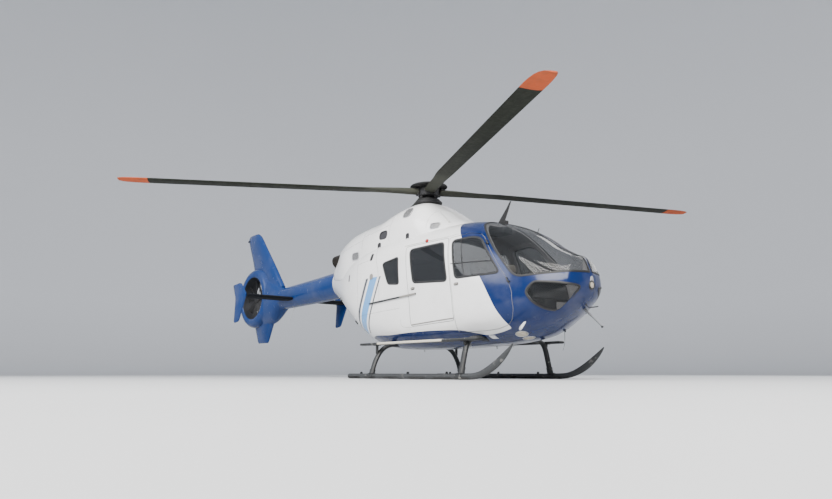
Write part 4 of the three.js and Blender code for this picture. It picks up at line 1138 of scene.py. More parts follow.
POD = [(0.01, 45), (60, 46), (104, 52), (118, 66), (120, 120), (112, 148), (80, 163), (0.01, 166)]
FAN_HUB = [(0.01, -76), (60, -74), (98, -66), (112, -52), (115, -30), (115, 8), (40, 10), (0.01, 10)]
stator = [turned(POD, FAN_CENTRE, (0, 1, 0), 48),
          turned([(50, 10.5), (50, 60)], FAN_CENTRE, (0, 1, 0), 32)]
for radial, square in fan_spokes(STATOR_VANES, 0.2):
    rings = []
    for r in np.linspace(60, 512, 6):
        rings.append([FAN_CENTRE + radial * r + np.array([0, 105 - c, 0]) + square * t
                      for c, t in foil(60, 16, 12)])
    stator.append(loft(rings))
joined("tail_stator", merged(stator), duct_shade_black)

fan = [turned(FAN_HUB, FAN_CENTRE, (0, 1, 0), 48)]
for radial, square in fan_spokes(FAN_BLADES):
    rings = []
    for share in np.linspace(0, 1, 9):
        r = 90 + share * 398
        half = 36 + share * 24
        pitch = math.radians(40 - share * 15)
        ring = []
        for c, t in foil(2 * half, 9, 14):
            c += 0.17 * 2 * half
            lift = -30 + t * math.cos(pitch) + c * math.sin(pitch)
            swing = c * math.cos(pitch) - t * math.sin(pitch)
            ring.append(FAN_CENTRE + radial * r + np.array([0, lift, 0]) + square * swing)
        rings.append(ring)
    fan.append(loft(rings))
joined("tail_fan_wheel", merged(fan), head_black, "fan_rotor", ["tail_fan"])

# Stabiliser and end plates

STAB = {"front": -4250, "back": -4900, "z": 1700, "root": 120, "tip": 1290, "thickness": 80}
ENDPLATE = [(-4320, 1720), (-4590, 1980), (-4940, 1955), (-4800, 1660), (-4830, 1130), (-4630, 1160)]
boom_clear = section_loft(BOOM, -SEAT_GAP, 32, 4)
for word, side in SIDES:
    chord = STAB["front"] - STAB["back"]
    rings = []
    for y in np.linspace(STAB["root"], STAB["tip"] - 20.3, 6):
        rings.append([(STAB["back"] + 0.67 * chord + c, side * y, STAB["z"] + t)
                      for c, t in foil(chord, STAB["thickness"])])
    half = solid(f"stabiliser_{word}_skin", loft(rings), None, [boom_clear])
    finished(half, dark_paint, 40, [f"stabiliser_{word}"])
    outline = rounded(ENDPLATE, 60)
    rings = []
    for y, pull in ((-20, 16), (-17, 6), (-11, 0.5), (11, 0.5), (17, 6), (20, 16)):
        rings.append([(x, side * (STAB["tip"] + y), z) for x, z in shrunk(outline, pull)])
    joined(f"endplate_{word}_skin", loft(rings), tail_paint, replaces=[f"endplate_{word}"])

# Rotor blades, rotor head and mast

HUB_Z = 3225
ROTOR_BLADES = 4
STRAIGHT_TO = 480
LINK_RADIUS = 165
FIRST_BLADE = 63.1
DROOP = math.tan(math.radians(1.2))
BLADE = [(190, 200, 116), (300, 208, 113), (480, 220, 104), (700, 229, 89), (900, 240, 74), (1060, 262, 59),
         (1180, 280, 49), (1300, 289, 43), (3000, 289, 38), (4780, 289, 34), (4900, 276, 30), (5000, 250, 26),
         (5060, 212, 20), (5100, 150, 14)]
for i in range(ROTOR_BLADES):
    angle = math.radians(FIRST_BLADE + 90 * i)
    turn = np.array([[math.cos(angle), -math.sin(angle), 0], [math.sin(angle), math.cos(angle), 0],
        [0, 0, 1]])
    rings = []
    for a, b in zip(BLADE, BLADE[1:] + [None]):
        steps = [a] if b is None else [np.array(a) + (np.array(b) - a) * s / 4 for s in range(4)]
        for r, chord, thickness in steps:
            z = HUB_Z - DROOP * max(0.0, r - STRAIGHT_TO)
            rings.append([turn @ (r, c, z + t) for c, t in foil(chord, thickness, 22)])
    joined(f"main_blade_{i + 1}_skin", loft(rings), blade_paint, "main_rotor", [f"main_blade_{i + 1}"], 40)

CAP = [(0.01, 72), (270, 72), (290, 73), (314, 78), (327, 87), (330, 96), (326, 104), (308, 114), (286, 121),
       (210, 129), (130, 134), (0.01, 134)]
up = (0, 0, 1)
hub = (0, 0, HUB_Z)
head = [
    turned(CAP, hub, up, 96),
    turned([(0.01, -90), (150, -90), (180, -82), (189, -68), (189, 68), (180, 84), (0.01, 86)], hub, up, 64),
    turned([(48, 2821), (48, HUB_Z)], (0, 0, 0), up, 40),
    turned([(80, HUB_Z - 138), (96, HUB_Z - 130), (96, HUB_Z - 100), (80, HUB_Z - 85)], (0, 0, 0), up, 40),
]
for i in range(8):
    angle = 2 * math.pi * (i + 0.5) / 8
    bolt = (np.cos(angle) * 170, np.sin(angle) * 170, HUB_Z - 10)
    head.append(turned([(11, 126), (11, 135), (8, 140)], bolt, up, 12))
for i in range(ROTOR_BLADES):
    angle = math.radians(FIRST_BLADE + 90 * i)
    lead = angle + 0.42
    reach = np.array([math.cos(angle), math.sin(angle), 0])
    square = np.array([-math.sin(angle), math.cos(angle), 0])
    foot = np.array([LINK_RADIUS * math.cos(lead), LINK_RADIUS * math.sin(lead), 3093.0])
    top = np.array([LINK_RADIUS * math.cos(lead), LINK_RADIUS * math.sin(lead), HUB_Z - 60.0])
    head.append(sweep([foot, top], 12, sides=16))
    head.append(turned([(15, -16), (19, -12), (19, 12), (15, 16)], foot + (0, 0, 20), square, 20))
    root = np.array(hub) + reach * 205
    for across in (-42, 42):
        head.append(turned([(17, -66), (17, 66)], root + square * across, up, 20))
joined("rotor_head_skin", merged(head), head_black, "main_rotor", ["rotor_head"])

SWASH = [(53.5, 2990), (200, 2990), (226, 2998), (235, 3012), (235, 3034), (222, 3046), (206, 3050),
    (196, 3062), (196, 3074), (186, 3084), (53.5, 3085)]
housing = turned([(53.5, 2800.5), (120, 2800.5), (120, 2870), (108, 2890), (104, 2975), (116, 2990),
                  (53.5, 2990)], (0, 0, 0), up, 48)
boot = turned([(104, 2880), (112, 2892), (103, 2904), (112, 2916), (103, 2928), (112, 2940), (103, 2952),
               (112, 2964), (104, 2976)], (0, 0, 0), up, 48)
swash = [housing, boot, turned(SWASH, (0, 0, 0), up, 64)]
for i in range(3):
    angle = 2 * math.pi * i / 3 + 0.5
    foot = np.array([190 * math.cos(angle), 190 * math.sin(angle), 2810.0])
    swash.append(sweep([foot * (0.8, 0.8, 1), foot + (0, 0, 190)], 14, sides=16))
joined("swashplate", merged(swash), head_black, replaces=["mast_housing"])

# Skids, crosstubes and steps

SKID_PATH = [(-896, 42, 42, 42), (600, 42, 42, 42), (1960, 42, 42, 42), (2130, 62, 44, 40),
    (2290, 120, 50, 34), (2450, 205, 54, 28), (2600, 318, 42, 22), (2700, 410, 24, 15), (2750, 465, 8, 8)]
CROSSTUBES = [
    ("front", 1766, [(0, 585), (640, 585), (740, 575), (810, 545), (855, 490), (890, 400), (920, 290),
                     (975, 80)]),
    ("rear", -277, [(0, 560), (560, 560), (690, 530), (790, 470), (855, 400), (905, 320), (950, 230),
                    (995, 80)]),
]
SKID_Y = 1000
STEP_BACK, STEP_FRONT = -676, 2073
STEP_Y, STEP_Z = 894, 558
STEP_WIDE, STEP_HIGH = 68, 21


def above_soles(shape):
    return np.column_stack([shape[0][:, :2], np.maximum(shape[0][:, 2], SOLE_RISE)]), shape[1]


def board_ring(x, side, out, low=0.0, high=1.0):
    """Part of the outline of a step with rounded edges, across the aircraft."""
    turns = 2 * math.pi * np.linspace(low, high, 33)[:None if high - low < 1 else -1]
    power = 0.55
    across, up_way = np.cos(turns), np.sin(turns)
    return [(x, side * STEP_Y + (STEP_WIDE + out) * np.sign(a) * abs(a) ** power,
        STEP_Z + (STEP_HIGH + out) * np.sign(b) * abs(b) ** power) for a, b in zip(across, up_way)]


for word, side in SIDES:
    rows = softened(SKID_PATH)
    path = np.column_stack([rows[:, 0], np.full(len(rows), side * SKID_Y), rows[:, 1]])
    joined(f"skid_{word}_tube", above_soles(sweep(path, rows[:, 3], rows[:, 2], (0, 1, 0), 32)), skid_coat,
        replaces=[f"skid_{word}"])
    shoes = []
    for x0, x1 in ((-880, -560), (-420, -130), (60, 420), (700, 1080), (1250, 1620), (1700, 1960)):
        rings = []
        for x in np.linspace(x0, x1, 5):
            under = [(x, side * SKID_Y + 47 * math.cos(a), 47.5 + 47 * math.sin(a))
                     for a in np.linspace(math.radians(190), math.radians(350), 13)]
            over = [(x, side * SKID_Y + 41 * math.cos(a), 43 + 41 * math.sin(a))
                    for a in np.linspace(math.radians(350), math.radians(190), 13)]
            rings.append(under + over)
        shoes.append(loft(rings))
    joined(f"skid_shoes_{word}", above_soles(merged(shoes)), shoe_metal)
for word, station, half in CROSSTUBES:
    line = [(station, -y, z) for y, z in half[::-1]] + [(station, y, z) for y, z in half[1:]]
    line = softened(line)
    clamps = []
    for _, side in SIDES:
        y, z = half[-1]
        base = np.array([station, side * SKID_Y, 42.0])
        ring, faces = turned([(43, -65), (51, -65), (53, -61), (53, 61), (51, 65), (43, 65)], base,
            (1, 0, 0), 40)
        clamps.append((np.column_stack([ring[:, :2], np.maximum(ring[:, 2], 13)]), faces))
        lower = np.array([(station, side * a, b) for a, b in half[-3:]])
        clamps.append(sweep([lower[-1] + (lower[-2] - lower[-1]) * 0.45, lower[-1]], 52, 43, (1, 0, 0), 24))
        for dx in (-48, 48):
            for dy in (-38, 38):
                clamps.append(turned([(8, 0), (8, 16), (5, 20)], base + (dx, dy, 26), up, 10))
    joined(f"crosstube_clamps_{word}", merged(clamps), gear_black)
    joined(f"crosstube_{word}_tube", sweep(line, 45, 36, (1, 0, 0), 24), gear_black,
        replaces=[f"crosstube_{word}"])
for word, side in SIDES:
    rings = []
    for x, pull in ((STEP_BACK, 8), (STEP_BACK + 5, 2), (STEP_BACK + 14, 0), (STEP_FRONT - 14, 0),
            (STEP_FRONT - 5, 2), (STEP_FRONT, 8)):
        rings.append(board_ring(x, side, -pull))
    board = [loft(rings)]
    for _, station, half in CROSSTUBES:
        y, z = next(point for point in half if point[0] > STEP_Y - 50)
        board.append(sweep([(station, side * STEP_Y, z), (station, side * STEP_Y, STEP_Z - 10)], 26, 22,
            (1, 0, 0), 16))
        board.append(block(station - 60, station + 60, side * STEP_Y - 30, side * STEP_Y + 30,
            STEP_Z - STEP_HIGH - 6, STEP_Z - 6))
    joined(f"step_{word}_board", merged(board), gear_black, replaces=[f"step_{word}"])
    # The pale grip wraps the top and the outer edge
    low, high = (-0.09, 0.45) if side > 0 else (0.05, 0.59)
    rings = []
    for x, out in ((-200, 0.2), (-196, 1.4), (1346, 1.4), (1350, 0.2)):
        strip = board_ring(x, side, out, low, high)
        inner = board_ring(x, side, -3, low, high)
        rings.append(strip + inner[::-1])
    joined(f"step_grip_{word}", loft(rings), grip_pale)

# Rails, handles, covers, grilles and openings on both sides

RAIL = [(-661, 1253), (569, 1319)]


def strip_outline(line, half):
    """A strip outline round a straight [x, z] line."""
    (x0, z0), (x1, z1) = line
    return [(x0, z0 - half), (x1, z1 - half), (x1, z1 + half), (x0, z0 + half)]


# Joints between fixed panels, as [x, z] lines on the body and the cowling
SEAMS = [
    [(-616, 2214), (-560, 2050), (-434, 1776), (-400, 1500), (-395, 1253)],
    [(1246, 2150), (1400, 2165)],
    [(1425, 870), (1418, 700)],
    [(172, 939), (180, 810), (430, 800)],
    [(-1120, 1060), (-640, 1085), (160, 1120)],
    [(-1180, 720), (-1040, 1000), (-1060, 1500), (-1150, 2000)],
    [(-1150, 2000), (-640, 2040)],
]
COWL_SEAMS = [
    [(-350, 2945), (-350, 2500), (-350, 2330)],
    [(-1150, 2700), (-1150, 2400), (-1150, 2290)],
    [(-360, 2620), (-1140, 2520)],
    [(-1160, 2460), (-2000, 2350)],
    [(600, 2760), (560, 2500), (560, 2400)],
]
INTAKES = [(48, 2765, 104, 78), (735, 2425, 90, 44), (-1340, 2190, 112, 64)]
COVERS = [("filler", -635, 1719, 46, 46), ("slot", -1443, 1785, 12, 60), ("wall_vent", -707, 2077, 34, 62)]
for word, side in SIDES:
    rail = pad(f"door_rail_{word}_bar", strip_outline(RAIL, 12), side, 20, -0.3, gear_black, near=SIDE_START)
    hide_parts(f"door_rail_{word}")
    # The slot is a dark strip on the bar: painted shade in the rail's groove.
    pad(f"door_rail_{word}_slot", strip_outline(RAIL, 4.5), side, 20.6, -19, seam_dark, near=SIDE_START)
    pad(f"door_rail_{word}_sleeve", strip_outline([(175, 1297.9), (569, 1319)], 13), side, 21.5, -18,
        rail_grey, near=SIDE_START)
    line_strip(f"door_rail_{word}_lower", [(437, 838), (900, 862), (1402, 886)], side, 16, 9, rail_grey)
    # A dark strip along the lower rail: painted shade in its groove.
    line_strip(f"door_rail_{word}_lower_slot", [(450, 838), (900, 862), (1390, 886)], side, 5, 10, seam_dark)
    line_strip(f"door_rail_{word}_upper", [(200, 2140), (1230, 2146)], side, 14, 8, pale_plastic)
    for body, x, z in ((f"{word}_crew_door", 1482, 1380), ("airframe", 492, 1406)):
        tag = "crew" if x > 1400 else "sliding"
        pad(f"{tag}_door_handle_{word}", plate(x, z, 36, 11, 10), side, 18, 2, rail_grey, body)
        # A dark plate round each handle, a little proud of the skin: painted shade of the handle's recessed
        # well.
        pad(f"{tag}_door_handle_well_{word}", plate(x, z, 44, 22, 18), side, 1.2, 2, seam_dark, body)
    for name, x, z, half_x, half_z in COVERS:
        dark = name != "filler"
        pad(f"{name}_{word}", plate(x, z, half_x, half_z, half_x - 1), side, 6, 4,
            rubber if dark else rail_grey)
        line_strip(f"{name}_joint_{word}", plate(x, z, half_x + 5, half_z + 5, half_x - 1), side, 3, 1.5,
            seam_dark, closed=True)
    for i, (x, z, half_x, half_z) in enumerate(INTAKES):
        mesh_plate = pad(f"intake_{i + 1}_{word}", plate(x, z, half_x, half_z, half_z - 1), side, 6, 4,
            grille_metal, rows_name="cowl")
        edging(f"intake_{i + 1}_{word}_rim", mesh_plate, cowl_skin, 9, 4, alloy, out=5)
    for i, (x, z, half_x, half_z) in enumerate(OPENINGS):
        line_strip(f"opening_{i + 1}_{word}_rim", plate(x, z, half_x + 2, half_z + 2, min(half_x, half_z)),
            side, 8, 4, rubber, skin=cowl_skin, closed=True)
    for i, seam in enumerate(SEAMS):
        line_strip(f"panel_joint_{i + 1}_{word}", softened(seam, 2), side, 3.2, 1.0, seam_dark)
    for i, seam in enumerate(COWL_SEAMS):
        line_strip(f"cowl_joint_{i + 1}_{word}", seam, side, 3.2, 1.0, seam_dark, skin=cowl_skin)
    # Rail and post of the crew window's small sliding pane
    line_strip(f"crew_window_rail_{word}", [(1352, 1699), (2130, 1654)], side, 12, 7, rubber,
        f"{word}_crew_door")
    line_strip(f"crew_window_post_{word}", [(1500, 2058), (1640, 1480)], side, 9, 4, rubber,
        f"{word}_crew_door")

# Fasteners in rows along the panel joints: skin, ends of rows, number in a row, shift in x, radii
FASTENERS = [
    (hull_skin, [[(-600, 2190), (-450, 1790)], [(-640, 1100), (160, 1135)], [(-1090, 1520), (-1170, 1980)]],
     12, 12, 4.5, 3),
    (cowl_skin, [[(-370, 2900), (-370, 2400)], [(-1170, 2680), (-1170, 2310)], [(-420, 2640), (-1120, 2545)]],
     9, 0, 5, 3.4),
]
rivets = []
for _, side in SIDES:
    for skin, rows, count, shift, wide, narrow in FASTENERS:
        for (x0, z0), (x1, z1) in rows:
            for t in np.linspace(0, 1, count):
                point = skin.side(x0 + (x1 - x0) * t + shift, z0 + (z1 - z0) * t, side)[0]
                rivets.append(turned([(wide, -1), (wide, 0.8), (narrow, 1.4)], point, skin.normal(point)[0],
                    10))
joined("panel_fasteners", merged(rivets), alloy)

# Belly hatches and drains, a marker plate and a blade aerial

hatches = []
for x, y, half_x, half_y in ((1150, 0, 300, 260), (1700, 0, 190, 300), (300, 0, 330, 300),
        (-450, 0, 240, 240)):
    corner = rounded([(x - half_x, y - half_y), (x + half_x, y - half_y), (x + half_x, y + half_y),
                      (x - half_x, y + half_y)], 70)
    line = dense(corner)
    points = hull_skin.above(line[:, 0], line[:, 1], way=-1)
    hatches.append(ribbon(points, hull_skin.normal(points), 4, 1.0))
joined("belly_hatch_joints", merged(hatches), seam_dark)
drains = []
for x, y in ((1276, 288), (1598, 309), (1276, -288), (700, 200), (-300, 150)):
    drains.append(turned([(9, -4), (9, 34), (6, 40)], hull_skin.above(x, y, way=-1)[0], (0.25, 0, -1), 16))
joined("belly_drains", merged(drains), pale_plastic)
pad("belly_marker_plate", plate(1940, 596, 40, 22, 10), -1, 8, 2, white_paint)
aerial = [hull_skin.side(2425 + 122 * t, 691 + 75 * t, -1)[0] for t in (0, 0.5, 1)]
out = hull_skin.normal(aerial[1])[0]
fin_rings = []
for t, long, thick in ((-6, 96, 22), (10, 88, 20), (40, 60, 15), (62, 34, 8)):
    middle = aerial[1] + out * t + np.array([-0.25 * t, 0, 0])
    along = (aerial[2] - aerial[0]) / np.linalg.norm(aerial[2] - aerial[0])
    wide = np.cross(along, out)
    fin_rings.append([middle + along * long * math.cos(a) + wide * thick * math.sin(a)
                      for a in np.linspace(0, 2 * math.pi, 24, endpoint=False)])
joined("belly_blade_aerial", loft(fin_rings), white_paint)

# Cable cutter on the roof, probes, aerials and lights

cutter = []
rings = []
for x_back, x_front, z, thick in ((1640, 1770, 2260, 9), (1640, 1775, 2400, 9), (1672, 1796, 2440, 8),
                                  (1738, 1832, 2512, 7), (1808, 1868, 2590, 6), (1880, 1913, 2686, 2)):
    middle, half = (x_back + x_front) / 2, (x_front - x_back) / 2
    rings.append([(middle + half * math.cos(a), thick * math.sin(a), z)
                  for a in np.linspace(0, 2 * math.pi, 24, endpoint=False)])
cutter.append(loft(rings))
foot_rings = []
for z, pull in ((2300, 0), (2384, 0), (2391, 6)):
    outline = rounded([(1500 + pull, -26 + pull), (1830 - pull, -26 + pull), (1830 - pull, 26 - pull),
                       (1500 + pull, 26 - pull)], 18)
    foot_rings.append([(x, y, z) for x, y in outline])
cutter.append(loft(foot_rings))
for x in (1530, 1800):
    for y in (17, -17):
        cutter.append(turned([(9, 2388), (9, 2396), (6, 2399)], (x, y, 0), up, 12))
joined("cable_cutter_blade", merged(cutter), head_black, replaces=["cable_cutter"])

root, tip = np.array([3050.0, 110, 975]), np.array([3351.0, 110, 686])
length = np.linalg.norm(tip - root)
probe = turned([(24, 0.10 * length), (22, 0.14 * length), (16, 0.2 * length), (15, 0.4 * length),
                (10, 0.46 * length), (9, 0.96 * length)], root, tip - root, 24)
joined("air_probe_tube", probe, probe_grey, replaces=["air_probe"])
joined("air_probe_tip", turned([(0.01, 0.93 * length), (12, 0.94 * length), (18, 0.965 * length),
    (14, 0.99 * length), (0.01, length)], root, tip - root, 24), gear_black)
small_root = hull_skin.above(3150, 40, way=-1)[0]
static_path = [small_root + step for step in ((0, 0, 12), (28, 0, -34), (60, 0, -46), (190, 0, -40))]
joined("static_probe", merged([
    sweep(softened(static_path), 8, sides=16),
    turned([(20, -5), (20, 4), (14, 8)], small_root, hull_skin.normal(small_root)[0], 24),
]), gear_black)


def whip(name, root, points, normal, material, radius=4.0):
    """A thin aerial on a small round foot."""
    path = softened([root, *points])
    reach = np.linspace(1.0, 0.45, len(path)) * radius
    foot = turned([(22, -4), (22, 4), (14, 12), (8, 30), (5, 34)], root, normal, 24)
    joined(name, merged([sweep(path, reach, sides=12), foot]), material)


belly_root = hull_skin.above(2622, 249, way=-1)[0]
whip("belly_whip", belly_root, [belly_root + (-4, 6, -120), belly_root + (-22, 14, -210),
    belly_root + (-60, 24, -285)], hull_skin.normal(belly_root)[0], gear_black, 3.5)
boom_root = boom_skin.above(-4598, 20, way=-1)[0]
whip("boom_whip", boom_root, [boom_root + (-60, 0, -110), boom_root + (-165, 0, -290)], (0, 0, -1),
    pale_plastic, 5)
cowl_root = cowl_skin.side(934, 2464, -1)[0]
whip("cowl_whip", cowl_root, [cowl_root + (-120, 10, 130), cowl_root + (-280, 25, 290)],
     cowl_skin.normal(cowl_root)[0], pale_plastic, 10)
sensor_root = hull_skin.above(2400, 0)[0]
joined("temperature_probe", merged([
    turned([(14, -6), (14, 6), (8, 12)], sensor_root, hull_skin.normal(sensor_root)[0], 20),
    sweep([sensor_root, sensor_root + (30, 0, 62)], 5, sides=12),
]), gear_black)
for word, side in SIDES:
    spot = hull_skin.side(748, 2145, side)[0]
    joined(f"side_lamp_{word}", turned([(0.01, 32), (13, 31), (24, 24), (31, 9), (31, -8), (0.01, -8)],
        spot, hull_skin.normal(spot)[0], 32), red_lens)
joined("fin_lamp", merged([
    turned([(24, 0), (27, 10), (25, 40), (14, 56), (0.01, 60)], (-6942, 0, 3385), (-1, 0, 0), 24),
    turned([(31, -40), (31, 6), (27, 8)], (-6942, 0, 3385), (-1, 0, 0), 24),
]), gear_black)
joined("roof_beacon", turned([(0.01, 92), (30, 88), (48, 70), (52, 30), (58, 26), (60, -20), (0.01, -20)],
    cowl_skin.above(-1500, 0)[0], up, 40), red_lens)

# Lashing lugs on the skids

for word, side in SIDES:
    lugs = []
    for x in (-560, 640, 1500):
        lugs.append(turned([(10, -9), (22, -7), (22, 7), (10, 9)], (x, side * SKID_Y, 92), (1, 0, 0), 20))
        lugs.append(block(x - 22, x + 22, side * SKID_Y - 8, side * SKID_Y + 8, 60, 84))
    joined(f"skid_lugs_{word}", merged(lugs), gear_black)

# Seats, belts, stretcher and cockpit

CREW_Y = 330
BACK_LEAN = 12
PANEL_PIVOT = np.array([2540.0, 0, 1225])
PANEL_LEAN = -12


def rounded_block(x0, x1, y0, y1, z0, z1, corner, edge):
    """A block with rounded corners in plan and softened top and bottom edges."""
    outline = rounded([(x0, y0), (x1, y0), (x1, y1), (x0, y1)], corner, 8)
    rings = []
    for z, pull in ((z0, edge), (z0 + 0.35 * edge, 0.3 * edge), (z0 + edge, 0), (z1 - edge, 0),
                    (z1 - 0.35 * edge, 0.3 * edge), (z1, edge)):
        rings.append([(x, y, z) for x, y in shrunk(outline, max(pull, 0.01))])
    return loft(rings)


def tilted(shape, pivot, degrees):
    """Turns a shape back round a line along Y."""
    points, faces = shape
    a = math.radians(degrees)
    moved = points - pivot
    x = moved[:, 0] * math.cos(a) + moved[:, 2] * math.sin(a)
    z = -moved[:, 0] * math.sin(a) + moved[:, 2] * math.cos(a)
    return np.column_stack([x, moved[:, 1], z]) + pivot, faces


def swollen(shape, cap, voxel=0.010):
    """A cushion shape blown up a little by a cloth simulation, as points and faces."""
    obj = joined("cushion", shape, [], None)
    remesh = obj.modifiers.new("remesh", "REMESH")
    remesh.mode = "VOXEL"
    remesh.voxel_size = voxel
    graph = bpy.context.evaluated_depsgraph_get()
    mesh = bpy.data.meshes.new_from_object(obj.evaluated_get(graph))
    obj.modifiers.clear()
    obj.data = mesh
    before = np.array([v.co[:] for v in mesh.vertices])
    cloth = obj.modifiers.new("swell", "CLOTH")
    cloth.settings.use_pressure = True
    cloth.settings.uniform_pressure_force = 4
    cloth.settings.effector_weights.gravity = 0
    for step in range(1, 21):
        bpy.context.scene.frame_set(step)
    graph = bpy.context.evaluated_depsgraph_get()
    after = np.array([v.co[:] for v in obj.evaluated_get(graph).data.vertices])
    obj.modifiers.clear()
    move = after - before
    length = np.linalg.norm(move, axis=1, keepdims=True)
    move *= np.minimum(1, cap / 1000 / np.maximum(length, 1e-9))
    mesh.vertices.foreach_set("co", (before + move).ravel())
    bpy.context.scene.frame_set(1)
    divide = obj.modifiers.new("divide", "SUBSURF")
    divide.levels = 1
    divide.render_levels = 1
    graph = bpy.context.evaluated_depsgraph_get()
    obj.data = bpy.data.meshes.new_from_object(obj.evaluated_get(graph))
    obj.modifiers.clear()
    return shape_of(obj)


def channelled(shape, lines, depth, width):
    """Presses sewn channels into the top of a cushion. Lines are [x0, y0, x1, y1] in plan."""
    points, faces = shape
    points = points.copy()
    top = points[:, 2] > (points[:, 2].min() + points[:, 2].max()) / 2
    for x0, y0, x1, y1 in lines:
        span = np.array([x1 - x0, y1 - y0], float)
        t = np.clip(((points[:, :2] - (x0, y0)) @ span) / (span @ span), 0, 1)
        away = np.linalg.norm(points[:, :2] - (x0, y0) - t[:, None] * span, axis=1)
        points[:, 2] -= np.where(top, depth * np.exp(-(away / width) ** 2), 0)
    return points, faces


# Cushions are made flat at the origin and then put into each seat
pan_cushion = channelled(swollen(rounded_block(-200, 200, -192, 192, 0, 78, 60, 22), 9),
                         [(-150, -70, 150, -70), (-150, 70, 150, 70), (90, -170, 90, 170)], 7, 9)
back_cushion = channelled(swollen(rounded_block(-250, 250, -188, 188, 0, 62, 70, 20), 8),
                          [(-200, -75, 200, -75), (-200, 75, 200, 75), (-60, -165, -60, 165)], 6, 9)
head_cushion = swollen(rounded_block(-70, 70, -120, 120, 0, 58, 45, 18), 6)


def moved(shape, offset):
    return shape[0] + np.asarray(offset, float), shape[1]


def stood_up(shape, degrees, foot):
    """Turns a flat cushion, whose far end is +X, into a back that leans."""
    points, faces = shape
    a = math.radians(degrees)
    along = np.array([-math.sin(a), 0, math.cos(a)])
    out = np.array([math.cos(a), 0, math.sin(a)])
    return (points[:, :1] * along + points[:, 1:2] * (0, 1, 0) + points[:, 2:3] * out
            + np.asarray(foot, float)), faces


def crew_seat(name, front, y, cloth):
    def at(back, across, rise):
        return front - back, y + across, FLOOR + rise

    shapes = [rounded_block(front - 560, front - 60, y - 195, y + 195, FLOOR + 250, FLOOR + 345, 40, 12)]
    for dy in (-150, 150):
        for x in (front - 500, front - 110):
            shapes.append(block(x - 20, x + 20, y + dy - 14, y + dy + 14, FLOOR + 8, FLOOR + 260))
        shapes.append(block(front - 560, front - 50, y + dy - 20, y + dy + 20, FLOOR, FLOOR + 14))
    shell_back = rounded_block(-40, 640, -200, 200, -26, 0, 60, 8)
    shapes.append(stood_up(shell_back, BACK_LEAN, at(470, 0, 360)))
    joined(f"{name}_frame", merged(shapes), dark_trim, replaces=[name])
    pan = moved(pan_cushion, at(240, 0, 340))
    back = stood_up(back_cushion, BACK_LEAN, at(528, 0, 640))
    head = stood_up(head_cushion, BACK_LEAN, at(606, 0, 985))
    for part, shape in (("pan", pan), ("back", back), ("headrest", head)):
        piece = joined(f"{name}_{part}_cushion", shape, cloth, smooth=80)
    belts = []
    for dy in (-80, 80):
        line = [at(545, dy, 890), at(500, dy, 905), at(440, dy, 860), at(405, dy * 0.6, 640),
            at(360, dy * 0.35, 460)]
        belts.append(sweep(softened(line), 24, 2, (0, 1, 0), 12))
        lap = [at(430, 2.4 * dy, 420), at(380, 1.6 * dy, 452), at(340, 0.3 * dy, 446)]
        belts.append(sweep(softened(lap), 3, 23, (0.6, 0, 0.8), 12))
    joined(f"{name}_belts", merged(belts), belt_web)
    joined(f"{name}_buckle", turned([(30, -10), (34, -6), (34, 6), (26, 12), (0.01, 14)], at(345, 0, 462),
        (0.5, 0, 0.87), 24), alloy)


for word, side in SIDES:
    crew_seat(f"crew_seat_{word}", 2130, side * CREW_Y, seat_cloth)
crew_seat("attendant_seat", 420, -340, dark_cloth)

mattress = channelled(swollen(rounded_block(-860, 860, -182, 182, 0, 84, 60, 26), 10, 0.014),
                      [(-300, -170, -300, 170), (300, -170, 300, 170)], 8, 12)
stretcher = []
for y in (140, 520):
    stretcher.append(sweep(softened([(-580, y, FLOOR + 120), (1180, y, FLOOR + 120)]), 16, sides=16))
for x in (-570, -100, 330, 760, 1170):
    stretcher.append(sweep([(x, 140, FLOOR + 120), (x, 520, FLOOR + 120)], 13, sides=16))
stretcher.append(block(-590, 1190, 150, 510, FLOOR + 128, FLOOR + 140))
for x in (-500, 1100):
    for y in (150, 510):
        stretcher.append(block(x - 16, x + 16, y - 16, y + 16, FLOOR, FLOOR + 112))
joined("stretcher_frame", merged(stretcher), alloy, replaces=["stretcher"])
pad_piece = joined("stretcher_mattress", moved(mattress, (300, 330, FLOOR + 141)), mattress_skin, smooth=80)
straps = []
for x in (-120, 330, 820):
    straps.append(sweep(softened([(x, 128, FLOOR + 150), (x, 150, FLOOR + 236), (x, 200, FLOOR + 246),
                                  (x, 330, FLOOR + 248), (x, 460, FLOOR + 246), (x, 510, FLOOR + 236),
                                  (x, 532, FLOOR + 150)]), 24, 3, (1, 0, 0), 12))
joined("stretcher_straps", merged(straps), belt_web)

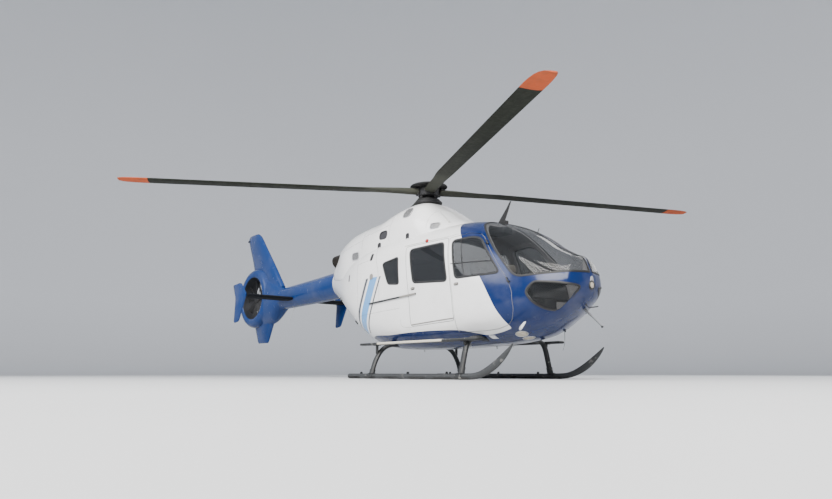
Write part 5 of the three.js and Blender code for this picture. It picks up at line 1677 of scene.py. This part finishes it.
console = [rounded_block(2325, 2598, -138, 138, FLOOR + 1, 1148, 30, 14)]
console.append(tilted(rounded_block(2490, 2600, -410, 410, 1105, 1345, 20, 12), PANEL_PIVOT, PANEL_LEAN))
hood_points = []
for x, z, half in ((2452, 1352, 425), (2520, 1385, 430), (2640, 1396, 420), (2760, 1385, 380)):
    ring = []
    for a in np.linspace(0, 2 * math.pi, 48, endpoint=False):
        swell = 26 * math.sin(a) ** 2 * (1 if math.sin(a) > 0 else 0.2)
        ring.append((x, half * math.cos(a), z - 26 + swell))
    hood_points.append(ring)
console.append(loft(hood_points))
joined("instrument_panel_body", merged(console), dark_trim, replaces=["instrument_panel"])
screens, knobs = [], []
for y, half in ((-290, 85), (-95, 85), (95, 85), (290, 85)):
    screens.append(tilted(rounded_block(2484, 2489, y - half, y + half, 1140, 1318, 2, 1.5), PANEL_PIVOT,
        PANEL_LEAN))
for z in (980, 1060):
    screens.append(block(2319, 2325, -100, 100, z, z + 60))
for i in range(10):
    for r, high, z in ((9, 12, 930), (7, 10, 890)):
        knobs.append(turned([(r, 0), (r, high), (r - 2, high + 2)], (2326, -99 + 22 * i, z), (-1, 0, 0), 14))
joined("panel_screens", merged(screens), screen_glass)
joined("panel_knobs", merged(knobs), pale_plastic)
controls = []
for _, side in SIDES:
    y = side * CREW_Y
    controls.append(sweep(softened([(2270, y, FLOOR), (2280, y, FLOOR + 160), (2215, y, FLOOR + 330),
                                    (2200, y, FLOOR + 470)]), 13, sides=16))
    controls.append(turned([(18, 0), (21, 20), (17, 60), (20, 100), (12, 118)], (2200, y, FLOOR + 460),
        (0.1, 0, 1), 20))
    controls.append(turned([(60, 0), (52, 20), (40, 50), (22, 80)], (2272, y, FLOOR), up, 24))
    controls.append(sweep([(1790, y + 235, FLOOR + 110), (2120, y + 235, FLOOR + 300)], 14, sides=16))
    for dy in (-95, 95):
        controls.append(sweep([(2560, y + dy, FLOOR), (2600, y + dy, FLOOR + 150)], 9, sides=12))
        controls.append(tilted(rounded_block(2590, 2604, y + dy - 45, y + dy + 45, FLOOR + 100, FLOOR + 240,
            12, 4), np.array([2600.0, 0, FLOOR + 150]), 20))
joined("flight_controls", merged(controls), dark_trim)
overhead = [rounded_block(1500, 1830, -110, 110, 2190, 2285, 30, 14)]
for i in range(6):
    for y in (60, -60):
        overhead.append(turned([(8, 0), (8, 14), (5, 16)], (1560 + 45 * i, y, 2192), (0, 0, -1), 14))
joined("overhead_panel", merged(overhead), dark_trim)
joined("rear_bulkhead_cabinet", merged([rounded_block(-560, -300, -620, -180, FLOOR + 1, 1700, 30, 12)]),
    pale_plastic)
for name in ("gearbox", "engine_right", "engine_left"):
    node = frame["nodes"][name]
    node.data.materials.clear()
    node.data.materials.append(alloy)
